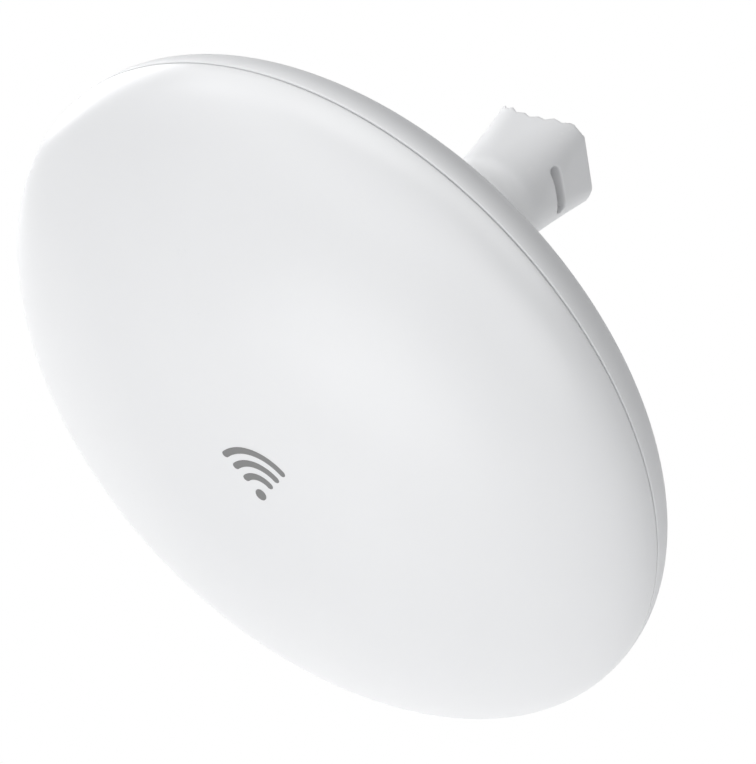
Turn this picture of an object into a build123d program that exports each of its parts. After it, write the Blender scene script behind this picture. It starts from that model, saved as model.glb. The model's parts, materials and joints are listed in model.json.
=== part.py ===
# Outdoor wireless bridge: a round dish antenna with its radio inside, held on a pole by a ball joint.
# Millimetres. The front looks along -Y, +Z is up and +X is to the right seen from the front.
# The origin is on the pole mount's saddle, where the axis of its neck meets the pole.
from build123d import *
from math import asin, cos, degrees, radians, sin, sqrt
import os

os.makedirs("parts", exist_ok=True)

# ---- driving dimensions: dish ----
dish_radius = 94.5
dish_drop = 11.4            # the dish's axis runs this far below the neck's axis
rim_ahead = 93.0            # from the saddle forward to the seam round the dish
seam_gap = 0.7              # the fine groove between radome and rear shell
wall = 2.4                  # moulded plastic wall

# ---- driving dimensions: radome ----
ridge_radius = 30.0         # the low ring round the hollow centre
ridge_height = 30.3
centre_height = 29.3
hollow_flat = 0.45          # the hollow is level out to this share of the ridge's radius
ridge_flat = 0.6            # and the ridge is level again from this share on
shoulder_reach = 24.5       # how far the dome stays flat beyond the ridge
shoulder_height = 17.0      # how high the dome's edge rises straight up
tongue_outer = 91.9         # the tongue that presses the seal
tongue_inner = 89.8
tongue_top = 4.5

# ---- driving dimensions: rear shell and housing ----
ledge_depth = 3.0           # the ledge that carries reflector and seal
ledge_inner = 87.0
seal_thickness = 1.0
seal_gap = 0.1              # round the outside of the tongue and the seal
bowl_depth = 27.5
skirt_edge = 7.5            # how far the skirt runs straight back before it rounds over
skirt_radius = 78.0         # where the rounded skirt runs into the bowl
skirt_depth = 17.5
skirt_lean = (10.5, 4.0)    # its slope there, out and forward
bowl_lean = (14.0, 5.3)     # and the bowl's slope, in and back
bowl_flat = 45.0            # the bowl is level inside this radius
lining_wall = 9.5           # the inside: a straight wall to this depth, a curve, then a bowl
lining_curve = ((84.5, -12.4), (80.0, -13.9), (76.5, -15.2))
lining_bowl = ((63.5, -20.2), 44.0)
housing_width = 72.0
housing_top = 35.0          # heights are from the neck's axis
housing_bottom = -70.0
housing_corner = 24.0
housing_depth = 39.0        # from the seam back to the housing's flat back
housing_root = 14.0         # the housing starts here, inside the bowl
housing_edge = 5.0
housing_draft = 4.0
cavity_bottom = -40.1
label_size = (38.0, 9.0, 1.2)   # width, height, corner
label_thickness = 0.25
label_middle = -35.0

# ---- driving dimensions: port bay and cover ----
bay_half_width = 23.0
bay_top = -42.5
bay_floor = 26.4            # depth of the bay's floor behind the seam
bay_reach = 40.0            # long enough to cut out through the housing's bottom
gap = 0.3                   # between the housing and pieces that slide in it
groove_reach = 1.6          # grooves in the bay's sides that guide the cover
groove_thickness = 1.6
groove_depth = 35.9
cover_plate = 36.2          # depth of the cover's inner face
cover_front = 27.2
cover_skin = 2.4
cover_corner = 6.0
cover_open = 20.0           # the cover's hollow runs on above it by this much
cable_notch = 3.4
notch_middle = 4.0          # from the cover's front edge
grip_rib_count = 4
grip_rib_size = (18.0, 1.2)
grip_rib_pitch = 2.6
grip_rib_bottom = -58.0
grip_rib_rise = 0.6

# ---- driving dimensions: reflector and feed ----
reflector_radius = 87.0
reflector_flange = 89.6
reflector_bowl = 19.0
reflector_sheet = 1.0
reflector_hole = 11.5
feed_radius = 11.0
feed_bore = 9.4
feed_front = 12.0           # forward of the seam
cone_plug = 8.0             # how far the cone reaches into the tube
cone_lean = (1.5, 5.0)      # out and forward, where the cone leaves the tube
cone_inset = 2.0            # the cone ends this far inside the subreflector's edge
subreflector_radius = 22.0
subreflector_back = 21.0
subreflector_rim = 1.0
subreflector_crown = 2.4

# ---- driving dimensions: electronics ----
board_depth = 24.5          # from the seam back to the board's front face
board_thickness = 1.6
board_half_width = 28.5
board_top = 20.0
board_bottom = -39.5
board_corner = 12.0
jack_clear = 0.2            # between the jack and the edge of the board's notch
jack_width = 16.0
jack_length = 20.0
jack_height = 13.4
jack_front = 23.1
plug_width = 11.8
plug_height = 8.2
plug_depth = 15.0
plug_floor = 0.2            # from the bay's floor to the plug's opening
contact_count = 8
contact_pitch = 1.02
contact_size = (0.45, 1.0)
contact_inset = 3.0         # the contacts start this far inside the jack's mouth
shield_size = (34.0, 28.0, 1.0)     # width, height, corner
shield_middle = -3.0
shield_rise = 3.0
shield_wall = 0.4
large_chip = 13.0
large_chip_spot = (-7.0, -3.0)
small_chip = 7.0
small_chip_spots = ((9.0, 2.0), (9.0, -9.0))
chip_rise = 1.2
transformer_size = (9.5, 13.0, 0.8)
transformer_spot = (-16.0, -30.0)
transformer_rise = 6.0
switch_size = (6.0, 4.0)
switch_rise = 5.0
switch_lift = 3.2           # from the cavity's floor up to the switch
button_x = 14.0
button_radius = 1.8
button_depth = 29.6
button_travel = 0.6
button_stand = 1.2          # how far the button stands out into the bay
button_free = 0.2           # its free play under the switch
button_collar = 0.9
button_round = 0.5
light_count = 6
light_pitch = 4.0
light_x = 27.0
light_top = -13.0
light_radius = 1.1
light_stand = 0.3           # the pipes stand out of the housing's back
light_chip_size = (1.2, 2.0)
light_chip_rise = 0.8
pipe_bar_depth = 34.5       # a bar inside the housing joins the pipes
pipe_bar_width = 2.8
pipe_bar_thickness = 1.6
pipe_gap = 0.2              # between a light chip and its pipe
pipe_round = 0.25
boss_x = 24.5
boss_heights = (-37.0, 7.0)
boss_radius = 2.5
board_screw_radius = 1.25
board_screw_gap = 0.25
board_screw_length = 7.0
board_head = (2.3, 1.4)     # radius and height
board_cross = (2.8, 0.6, 0.8)   # length, width and depth of the drive cross

# ---- driving dimensions: ball joint ----
ball_ahead = 45.0           # from the saddle forward to the ball's centre
ball_radius = 13.0
running = 0.05              # radial clearance of the ball joint's sliding surfaces
seat_thickness = 1.5
seat_angle = 65.0           # the seat covers the ball's front out to this angle
seat_hole_angle = 8.0
ring_angle = 60.0           # the clamp ring's mouth, measured from the ball's back
ring_front = 0.6
ring_outer = 15.7
collar_bore = 15.9
collar_outer = 18.2
collar_back = 6.0           # the collar ends this far behind the ball's centre
flange_radius = 28.0
flange_thickness = 3.0
socket_hole = 15.0
nut_front = -4.0
nut_bore = 18.5
nut_outer = 20.5
nut_opening = 14.5
nut_lip = 7.6
nut_back = 10.5             # the nut's rear face, behind the ball's centre
nut_edge = 1.5
nut_mouth_edge = 1.0
washer_inner = 13.4
washer_outer = 17.8
washer_front = 6.7
washer_thickness = 0.8
grip_count = 18
grip_radius = 1.6
grip_overlap = 0.5          # each grip is rooted this deep in the nut
grip_end = 2.0              # the grips stop this far from the nut's rear face
socket_screw_circle = 24.8
socket_screw_radius = 1.4
socket_screw_gap = 0.2
socket_screw_length = 9.0
socket_head = (2.6, 1.7)
socket_head_round = 0.6
socket_cross = (3.2, 0.7, 1.0)
socket_boss_depth = 30.0

# ---- driving dimensions: pole mount ----
waist_radius = 7.5
waist_end = 16.0            # behind the ball's centre
neck_radius = 13.2
neck_lean = (0.3, 5.5)      # the neck's slope where it becomes its full size, in and forward
waist_lean = 4.0
neck_round_ahead = 19.0     # where the neck is still round
jaw_width = 26.6
jaw_height = 28.2
jaw_corner = 7.0
saddle_radius = 20.0        # fits a pole of 40 mm
tooth_count = 7
tooth_depth = 0.9
strap_slot_ahead = 9.5
strap_slot_height = 13.8
strap_slot_width = 3.2
core_depth = 5.5            # moulded pockets behind the saddle
core_half_height = 8.0
core_reach = 7.5
core_corner = 1.0
rib_half = 1.4

ball_behind = rim_ahead - ball_ahead          # the ball's centre, behind the seam
board_back = board_depth + board_thickness
inner_back = housing_depth - wall             # the inside of the housing's back wall
housing_middle = (housing_top + housing_bottom) / 2
housing_height = housing_top - housing_bottom
neck_length = ball_ahead - neck_round_ahead
jaw_tip_ahead = sqrt(saddle_radius**2 - (jaw_width / 2)**2) - saddle_radius
light_spots = [(light_x, light_top - light_pitch * i) for i in range(light_count)]
boss_spots = [(x, z) for x in (-boss_x, boss_x) for z in boss_heights]
switch_bottom = cavity_bottom + switch_lift

# local x of these planes is the distance from the axis, local y points to the front
dish_section = Plane(origin=(0, -rim_ahead, -dish_drop), x_dir=(1, 0, 0), z_dir=(0, 0, -1))
ball_section = Plane(origin=(0, -ball_ahead, 0), x_dir=(1, 0, 0), z_dir=(0, 0, -1))
dish_axis = Axis((0, -rim_ahead, -dish_drop), (0, 1, 0))
neck_axis = Axis((0, 0, 0), (0, 1, 0))


def behind_seam(depth):
    """The upright plane this far behind the seam: local x is +X, local y is +Z, facing the front."""
    return Plane.XZ.offset(rim_ahead - depth)


def on_sphere(radius, angle_from_back):
    """A point of a sphere round the ball's centre, in the ball section."""
    return (radius * sin(radians(angle_from_back)), -radius * cos(radians(angle_from_back)))


def save(builder, name):
    """Label a finished piece and write its file."""
    builder.part.label = name
    export_step(builder.part, f"parts/{name}.step")


# ======== radome and rear shell ========

# front radome: a domed shell with a shallow hollow at its centre and a tongue behind its rim
with BuildPart() as front_radome:
    with BuildSketch(dish_section):
        with BuildLine():
            Bezier((0, centre_height), (ridge_radius * hollow_flat, centre_height),
                   (ridge_radius * ridge_flat, ridge_height), (ridge_radius, ridge_height))
            Bezier((ridge_radius, ridge_height), (ridge_radius + shoulder_reach, ridge_height),
                   (dish_radius, shoulder_height), (dish_radius, seam_gap / 2))
            Polyline((dish_radius, seam_gap / 2), (tongue_outer, seam_gap / 2),
                     (tongue_outer, seal_thickness - ledge_depth), (tongue_inner, seal_thickness - ledge_depth),
                     (tongue_inner, tongue_top))
            Bezier((tongue_inner, tongue_top), (tongue_inner, shoulder_height - wall),
                   (ridge_radius + shoulder_reach - wall, ridge_height - wall),
                   (ridge_radius, ridge_height - wall))
            Bezier((ridge_radius, ridge_height - wall), (ridge_radius * ridge_flat, ridge_height - wall),
                   (ridge_radius * hollow_flat, centre_height - wall), (0, centre_height - wall))
            Line((0, centre_height - wall), (0, centre_height))
        make_face()
    revolve(axis=dish_axis)
save(front_radome, "front_radome")

# rim seal: pressed between the tongue and the ledge
with BuildPart() as rim_seal:
    with BuildSketch(behind_seam(ledge_depth)):
        with Locations((0, -dish_drop)):
            Circle(tongue_outer)
            Circle(tongue_inner, mode=Mode.SUBTRACT)
    extrude(amount=seal_thickness)
save(rim_seal, "rim_seal")

# housing block: the raised box at the back while it is still solid; the port cover is cut from it too
with BuildPart() as housing_block:
    with BuildSketch(behind_seam(housing_depth)):
        with Locations((0, housing_middle)):
            RectangleRounded(housing_width, housing_height, housing_corner)
    extrude(amount=housing_depth - housing_root, taper=-housing_draft)
    fillet(housing_block.faces().sort_by(Axis.Y)[-1].edges(), radius=housing_edge)

# rear shell: a shallow bowl with the housing behind it, all one moulding
with BuildPart() as rear_shell:
    with BuildSketch(dish_section):
        with BuildLine():
            Line((0, -seam_gap / 2), (dish_radius, -seam_gap / 2))
            Bezier((dish_radius, -seam_gap / 2), (dish_radius, -skirt_edge),
                   (skirt_radius + skirt_lean[0], skirt_lean[1] - skirt_depth), (skirt_radius, -skirt_depth))
            Bezier((skirt_radius, -skirt_depth), (skirt_radius - bowl_lean[0], -skirt_depth - bowl_lean[1]),
                   (bowl_flat, -bowl_depth), (0, -bowl_depth))
            Line((0, -bowl_depth), (0, -seam_gap / 2))
        make_face()
    revolve(axis=dish_axis)
    add(housing_block.part)
    with BuildSketch(dish_section):
        with BuildLine():
            Polyline((0, 0), (tongue_outer + seal_gap, 0), (tongue_outer + seal_gap, -ledge_depth),
                     (ledge_inner, -ledge_depth), (ledge_inner, -lining_wall))
            Bezier((ledge_inner, -lining_wall), *lining_curve)
            Bezier(lining_curve[-1], lining_bowl[0], (lining_bowl[1], wall - bowl_depth),
                   (0, wall - bowl_depth))
            Line((0, wall - bowl_depth), (0, 0))
        make_face()
    revolve(axis=dish_axis, mode=Mode.SUBTRACT)
    # the cavity for the electronics
    with BuildSketch(behind_seam(inner_back)):
        with Locations((0, housing_middle)):
            RectangleRounded(housing_width - 2 * wall, housing_height - 2 * wall, housing_corner - wall)
        with Locations((0, cavity_bottom)):
            Rectangle(housing_width, housing_height, align=(Align.CENTER, Align.MAX), mode=Mode.SUBTRACT)
    extrude(amount=inner_back - housing_root, mode=Mode.SUBTRACT)
    # the port bay, open to the back and the bottom, with a groove in each side
    with BuildSketch(behind_seam(housing_depth + 1)):
        with Locations((0, bay_top)):
            Rectangle(2 * bay_half_width, bay_reach, align=(Align.CENTER, Align.MAX))
    extrude(amount=housing_depth + 1 - bay_floor, mode=Mode.SUBTRACT)
    with BuildSketch(behind_seam(groove_depth + groove_thickness)):
        with Locations((0, bay_top)):
            Rectangle(2 * (bay_half_width + groove_reach), bay_reach, align=(Align.CENTER, Align.MAX))
    extrude(amount=groove_thickness, mode=Mode.SUBTRACT)
    # the jack's window between the bay and the cavity
    with BuildSketch(behind_seam(jack_front + jack_height)):
        with Locations((0, cavity_bottom)):
            Rectangle(jack_width, 2 * (cavity_bottom - bay_top))
    extrude(amount=jack_height, mode=Mode.SUBTRACT)
    # the reset button's hole, from the bay up into the cavity
    with BuildSketch(Plane.XY.offset(bay_top - 1)):
        with Locations((button_x, button_depth - rim_ahead)):
            Circle(button_radius + gap)
    extrude(amount=cavity_bottom - bay_top + 2, mode=Mode.SUBTRACT)
    # holes in the back wall for the ball socket and the light pipes
    with BuildSketch(behind_seam(housing_depth + 1)):
        Circle(socket_hole)
        with Locations(*light_spots):
            Circle(light_radius)
    extrude(amount=wall + 2, mode=Mode.SUBTRACT)
    # bosses inside the back wall for the board and for the ball socket
    with BuildSketch(behind_seam(inner_back)):
        with Locations(*boss_spots):
            Circle(boss_radius)
            Circle(board_screw_radius, mode=Mode.SUBTRACT)
    extrude(amount=inner_back - board_back)
    with BuildSketch(behind_seam(inner_back)):
        with PolarLocations(socket_screw_circle, 4, start_angle=45):
            Circle(2 * socket_screw_radius)
    extrude(amount=inner_back - socket_boss_depth)
    with BuildSketch(behind_seam(housing_depth)):
        with PolarLocations(socket_screw_circle, 4, start_angle=45):
            Circle(socket_screw_radius)
    extrude(amount=housing_depth - socket_boss_depth, mode=Mode.SUBTRACT)
save(rear_shell, "rear_shell")

# rating label: a blank plate on the housing's back
with BuildPart() as rating_label:
    with BuildSketch(behind_seam(housing_depth + label_thickness)):
        with Locations((0, label_middle)):
            RectangleRounded(*label_size)
    extrude(amount=label_thickness)
save(rating_label, "rating_label")

# port cover: slides down out of the bay; its bottom wall has a notch for the network cable
with BuildPart() as port_cover:
    with BuildSketch(behind_seam(housing_depth + 1)):
        with Locations((0, bay_top - gap)):
            Rectangle(2 * (bay_half_width - gap), bay_reach, align=(Align.CENTER, Align.MAX))
    extrude(amount=housing_depth + 1 - cover_front)
    with BuildSketch(behind_seam(cover_plate + 1)):
        with Locations((0, bay_top - gap)):
            Rectangle(2 * (bay_half_width + groove_reach - gap), bay_reach / 2,
                      align=(Align.CENTER, Align.MAX))
    extrude(amount=1)
    add(housing_block.part, mode=Mode.INTERSECT)
    with BuildSketch(behind_seam(cover_plate)):
        with Locations((0, (bay_top + housing_bottom + cover_skin + cover_open) / 2)):
            RectangleRounded(2 * (bay_half_width - gap - cover_skin),
                             bay_top - housing_bottom - cover_skin + cover_open, cover_corner)
    extrude(amount=cover_plate - cover_front, mode=Mode.SUBTRACT)
    with BuildSketch(Plane.XY.offset(housing_bottom - 1)):
        with Locations((0, cover_front + notch_middle - rim_ahead)):
            Circle(cable_notch)
        with Locations((0, cover_front - rim_ahead)):
            Rectangle(2 * cable_notch, 2 * notch_middle)
    extrude(amount=cover_skin + 2, mode=Mode.SUBTRACT)
    # finger ribs
    with BuildSketch(behind_seam(housing_depth + grip_rib_rise)):
        with Locations(*[(0, grip_rib_bottom + grip_rib_pitch * i) for i in range(grip_rib_count)]):
            SlotOverall(*grip_rib_size)
    extrude(amount=2 * grip_rib_rise)
save(port_cover, "port_cover")

# ======== reflector and feed ========

# reflector: a spun sheet paraboloid with a flat flange that sits on the ledge
with BuildPart() as reflector:
    with BuildSketch(dish_section):
        with BuildLine():
            top = -ledge_depth + reflector_sheet
            # a parabola is a quadratic Bezier whose middle point is where its end tangents meet
            Bezier((0, top - reflector_bowl), (reflector_radius / 2, top - reflector_bowl),
                   (reflector_radius, top))
            Polyline((reflector_radius, top), (reflector_flange, top), (reflector_flange, top - reflector_sheet),
                     (reflector_radius, top - reflector_sheet))
            Bezier((reflector_radius, top - reflector_sheet),
                   (reflector_radius / 2, top - reflector_bowl - reflector_sheet),
                   (0, top - reflector_bowl - reflector_sheet))
            Line((0, top - reflector_bowl - reflector_sheet), (0, top - reflector_bowl))
        make_face()
    revolve(axis=dish_axis)
    with BuildSketch(behind_seam(board_depth)):
        with Locations((0, -dish_drop)):
            Circle(reflector_hole)
    extrude(amount=board_depth, mode=Mode.SUBTRACT)
save(reflector, "reflector")

# feed tube: carries the signal from the board forward through the reflector
with BuildPart() as feed_tube:
    with BuildSketch(behind_seam(board_depth)):
        with Locations((0, -dish_drop)):
            Circle(feed_radius)
            Circle(feed_bore, mode=Mode.SUBTRACT)
    extrude(amount=board_depth + feed_front)
save(feed_tube, "feed_tube")

# feed cone: a plastic plug in the tube's mouth that widens to hold the subreflector
with BuildPart() as feed_cone:
    with BuildSketch(dish_section):
        with BuildLine():
            Polyline((0, feed_front - cone_plug), (feed_bore, feed_front - cone_plug),
                     (feed_bore, feed_front), (feed_radius, feed_front))
            Bezier((feed_radius, feed_front), (feed_radius + cone_lean[0], feed_front + cone_lean[1]),
                   (subreflector_radius - cone_inset, subreflector_back))
            Polyline((subreflector_radius - cone_inset, subreflector_back), (0, subreflector_back),
                     (0, feed_front - cone_plug))
        make_face()
    revolve(axis=dish_axis)
save(feed_cone, "feed_cone")

# subreflector: a slightly crowned metal disc on the cone
with BuildPart() as subreflector:
    with BuildSketch(dish_section):
        with BuildLine():
            Polyline((0, subreflector_back + subreflector_crown), (0, subreflector_back),
                     (subreflector_radius, subreflector_back),
                     (subreflector_radius, subreflector_back + subreflector_rim))
            Bezier((subreflector_radius, subreflector_back + subreflector_rim),
                   (subreflector_radius / 2, subreflector_back + subreflector_crown),
                   (0, subreflector_back + subreflector_crown))
        make_face()
    revolve(axis=dish_axis)
save(subreflector, "subreflector")

# ======== electronics ========

# main board, with a notch at its bottom edge for the jack
with BuildPart() as main_board:
    with BuildSketch(behind_seam(board_back)):
        with BuildLine():
            Polyline((-board_half_width, board_bottom), (board_half_width, board_bottom),
                     (board_half_width, board_top - board_corner), (board_half_width - board_corner, board_top),
                     (board_corner - board_half_width, board_top), (-board_half_width, board_top - board_corner),
                     close=True)
        make_face()
        with Locations((0, board_bottom)):
            Rectangle(jack_width + 2 * jack_clear, 2 * (bay_top + gap + jack_length - board_bottom),
                      mode=Mode.SUBTRACT)
        with Locations(*boss_spots):
            Circle(board_screw_radius + board_screw_gap, mode=Mode.SUBTRACT)
    extrude(amount=board_thickness)
save(main_board, "main_board")

# board screws: pan heads on the board's front, shanks into the bosses
with BuildPart() as board_screws:
    with BuildSketch(behind_seam(board_depth)):
        with Locations(*boss_spots):
            Circle(board_head[0])
    extrude(amount=board_head[1])
    with BuildSketch(behind_seam(board_depth - board_head[1])):
        with Locations(*boss_spots):
            Rectangle(board_cross[0], board_cross[1])
            Rectangle(board_cross[1], board_cross[0])
    extrude(amount=-board_cross[2], mode=Mode.SUBTRACT)
    with BuildSketch(behind_seam(board_depth)):
        with Locations(*boss_spots):
            Circle(board_screw_radius)
    extrude(amount=-board_screw_length)
save(board_screws, "board_screws")

# network jack: its mouth looks down into the bay
with BuildPart() as network_jack:
    with BuildSketch(behind_seam(jack_front + jack_height)):
        with Locations((0, bay_top + gap)):
            Rectangle(jack_width, jack_length, align=(Align.CENTER, Align.MIN))
    extrude(amount=jack_height)
    with BuildSketch(Plane.XY.offset(bay_top)):
        with Locations((0, bay_floor + plug_floor + plug_height / 2 - rim_ahead)):
            Rectangle(plug_width, plug_height)
    extrude(amount=plug_depth + gap, mode=Mode.SUBTRACT)
save(network_jack, "network_jack")

# jack contacts: eight spring wires inside the jack
with BuildPart() as jack_contacts:
    with BuildSketch(Plane.XY.offset(bay_top + gap + contact_inset)):
        with Locations((0, bay_floor + plug_floor + contact_size[1] / 2 - rim_ahead)):
            with GridLocations(contact_pitch, 1, contact_count, 1):
                Rectangle(*contact_size)
    extrude(amount=plug_depth - contact_inset)
save(jack_contacts, "jack_contacts")

# shield can over the radio, open towards the board
with BuildPart() as radio_shield:
    with BuildSketch(behind_seam(board_back + shield_rise)):
        with Locations((0, shield_middle)):
            RectangleRounded(*shield_size)
    extrude(amount=shield_rise)
    with BuildSketch(behind_seam(board_back + shield_rise - shield_wall)):
        with Locations((0, shield_middle)):
            RectangleRounded(shield_size[0] - 2 * shield_wall, shield_size[1] - 2 * shield_wall,
                             shield_size[2] - shield_wall)
    extrude(amount=shield_rise - shield_wall, mode=Mode.SUBTRACT)
save(radio_shield, "radio_shield")

# radio chips under the shield
with BuildPart() as radio_chips:
    with BuildSketch(behind_seam(board_back + chip_rise)):
        with Locations(large_chip_spot):
            Rectangle(large_chip, large_chip)
        with Locations(*small_chip_spots):
            Rectangle(small_chip, small_chip)
    extrude(amount=chip_rise)
save(radio_chips, "radio_chips")

# network transformer beside the jack
with BuildPart() as network_transformer:
    with BuildSketch(behind_seam(board_back + transformer_rise)):
        with Locations(transformer_spot):
            RectangleRounded(*transformer_size)
    extrude(amount=transformer_rise)
save(network_transformer, "network_transformer")

# reset switch on the board's lower edge, and the button that presses it from the bay
with BuildPart() as reset_switch:
    with BuildSketch(behind_seam(board_back + switch_rise)):
        with Locations((button_x, switch_bottom)):
            Rectangle(*switch_size, align=(Align.CENTER, Align.MIN))
    extrude(amount=switch_rise)
save(reset_switch, "reset_switch")

with BuildPart() as reset_button:
    with BuildSketch(Plane.XY.offset(bay_top - button_stand)):
        with Locations((button_x, button_depth - rim_ahead)):
            Circle(button_radius)
    extrude(amount=switch_bottom - button_travel - button_free - bay_top + button_stand)
    with BuildSketch(Plane.XY.offset(cavity_bottom + gap)):
        with Locations((button_x, button_depth - rim_ahead)):
            Circle(button_radius + button_collar)
    extrude(amount=1)
    fillet(reset_button.faces().sort_by(Axis.Z)[0].edges(), radius=button_round)
save(reset_button, "reset_button")

# status lights: chips on the board, and the clear pipes that carry their light to the housing's back
with BuildPart() as light_chips:
    with BuildSketch(behind_seam(board_back + light_chip_rise)):
        with Locations(*light_spots):
            Rectangle(*light_chip_size)
    extrude(amount=light_chip_rise)
save(light_chips, "light_chips")

with BuildPart() as light_pipes:
    with BuildSketch(behind_seam(housing_depth + light_stand)):
        with Locations(*light_spots):
            Circle(light_radius)
    extrude(amount=housing_depth + light_stand - board_back - light_chip_rise - pipe_gap)
    fillet(light_pipes.faces().group_by(Axis.Y)[-1].edges(), radius=pipe_round)
    with BuildSketch(behind_seam(pipe_bar_depth)):
        with Locations((light_x, light_top - light_pitch * (light_count - 1) / 2)):
            Rectangle(pipe_bar_width, light_pitch * (light_count - 1) + 2 * light_radius)
    extrude(amount=pipe_bar_thickness)
save(light_pipes, "light_pipes")

# ======== ball joint ========

# ball socket: dome, flange and threaded collar, screwed to the housing's back
with BuildPart() as ball_socket:
    cup = ball_radius + seat_thickness + 2 * running
    dome = cup + wall
    seat_plane = ball_behind - housing_depth
    with BuildSketch(ball_section):
        with BuildLine():
            Line((0, cup), (0, dome))
            RadiusArc((0, dome), (sqrt(dome**2 - seat_plane**2), seat_plane), dome)
            Polyline((sqrt(dome**2 - seat_plane**2), seat_plane), (flange_radius, seat_plane),
                     (flange_radius, seat_plane - flange_thickness),
                     (collar_outer, seat_plane - flange_thickness), (collar_outer, -collar_back),
                     (collar_bore, -collar_back), (collar_bore, 0), (cup, 0))
            RadiusArc((cup, 0), (0, cup), -cup)
        make_face()
    revolve(axis=neck_axis)
    with BuildSketch(behind_seam(housing_depth + flange_thickness)):
        with PolarLocations(socket_screw_circle, 4, start_angle=45):
            Circle(socket_screw_radius + socket_screw_gap)
    extrude(amount=flange_thickness, mode=Mode.SUBTRACT)
save(ball_socket, "ball_socket")

# socket screws
with BuildPart() as socket_screws:
    head_face = housing_depth + flange_thickness
    with BuildSketch(behind_seam(head_face)):
        with PolarLocations(socket_screw_circle, 4, start_angle=45):
            Circle(socket_head[0])
    extrude(amount=-socket_head[1])
    fillet(socket_screws.faces().group_by(Axis.Y)[-1].edges(), radius=socket_head_round)
    with BuildSketch(behind_seam(head_face + socket_head[1])):
        with PolarLocations(socket_screw_circle, 4, start_angle=45):
            Rectangle(socket_cross[0], socket_cross[1])
            Rectangle(socket_cross[1], socket_cross[0])
    extrude(amount=socket_cross[2], mode=Mode.SUBTRACT)
    with BuildSketch(behind_seam(head_face)):
        with PolarLocations(socket_screw_circle, 4, start_angle=45):
            Circle(socket_screw_radius)
    extrude(amount=socket_screw_length)
save(socket_screws, "socket_screws")

# ball seat: a thin cup between the ball's front and the socket
with BuildPart() as ball_seat:
    inner = ball_radius + running
    outer = inner + seat_thickness
    front_edge = 180 - seat_hole_angle
    back_edge = 180 - seat_angle
    with BuildSketch(ball_section):
        with BuildLine():
            Line(on_sphere(inner, front_edge), on_sphere(outer, front_edge))
            RadiusArc(on_sphere(outer, front_edge), on_sphere(outer, back_edge), outer)
            Line(on_sphere(outer, back_edge), on_sphere(inner, back_edge))
            RadiusArc(on_sphere(inner, back_edge), on_sphere(inner, front_edge), -inner)
        make_face()
    revolve(axis=neck_axis)
save(ball_seat, "ball_seat")

# clamp ring: grips the ball from behind
with BuildPart() as clamp_ring:
    inner = ball_radius + running
    mouth = on_sphere(inner, ring_angle)
    root = (sqrt(inner**2 - ring_front**2), -ring_front)
    with BuildSketch(ball_section):
        with BuildLine():
            RadiusArc(mouth, root, -inner)
            Polyline(root, (ring_outer, -ring_front), (ring_outer, mouth[1]), mouth)
        make_face()
    revolve(axis=neck_axis)
save(clamp_ring, "clamp_ring")

# thrust washer between the ring and the nut
with BuildPart() as thrust_washer:
    with BuildSketch(Plane.XZ.offset(ball_ahead - washer_front)):
        Circle(washer_outer)
        Circle(washer_inner, mode=Mode.SUBTRACT)
    extrude(amount=-washer_thickness)
save(thrust_washer, "thrust_washer")

# lock nut: turned by hand on the collar; its lip presses the washer and the ring on the ball
with BuildPart() as lock_nut:
    with BuildSketch(ball_section):
        with BuildLine():
            Polyline((nut_bore, -nut_front), (nut_outer, -nut_front), (nut_outer, nut_edge - nut_back),
                     (nut_outer - nut_edge, -nut_back), (nut_opening + nut_mouth_edge, -nut_back),
                     (nut_opening, nut_mouth_edge - nut_back), (nut_opening, -nut_lip),
                     (nut_bore, -nut_lip), close=True)
        make_face()
    revolve(axis=neck_axis)
    with BuildSketch(Plane.XZ.offset(ball_ahead - nut_front)):
        with PolarLocations(nut_outer, grip_count):
            Circle(grip_radius)
        Circle(nut_outer - grip_overlap, mode=Mode.SUBTRACT)
    extrude(amount=nut_front + grip_end - nut_back)
save(lock_nut, "lock_nut")

# ======== pole mount ========

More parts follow.
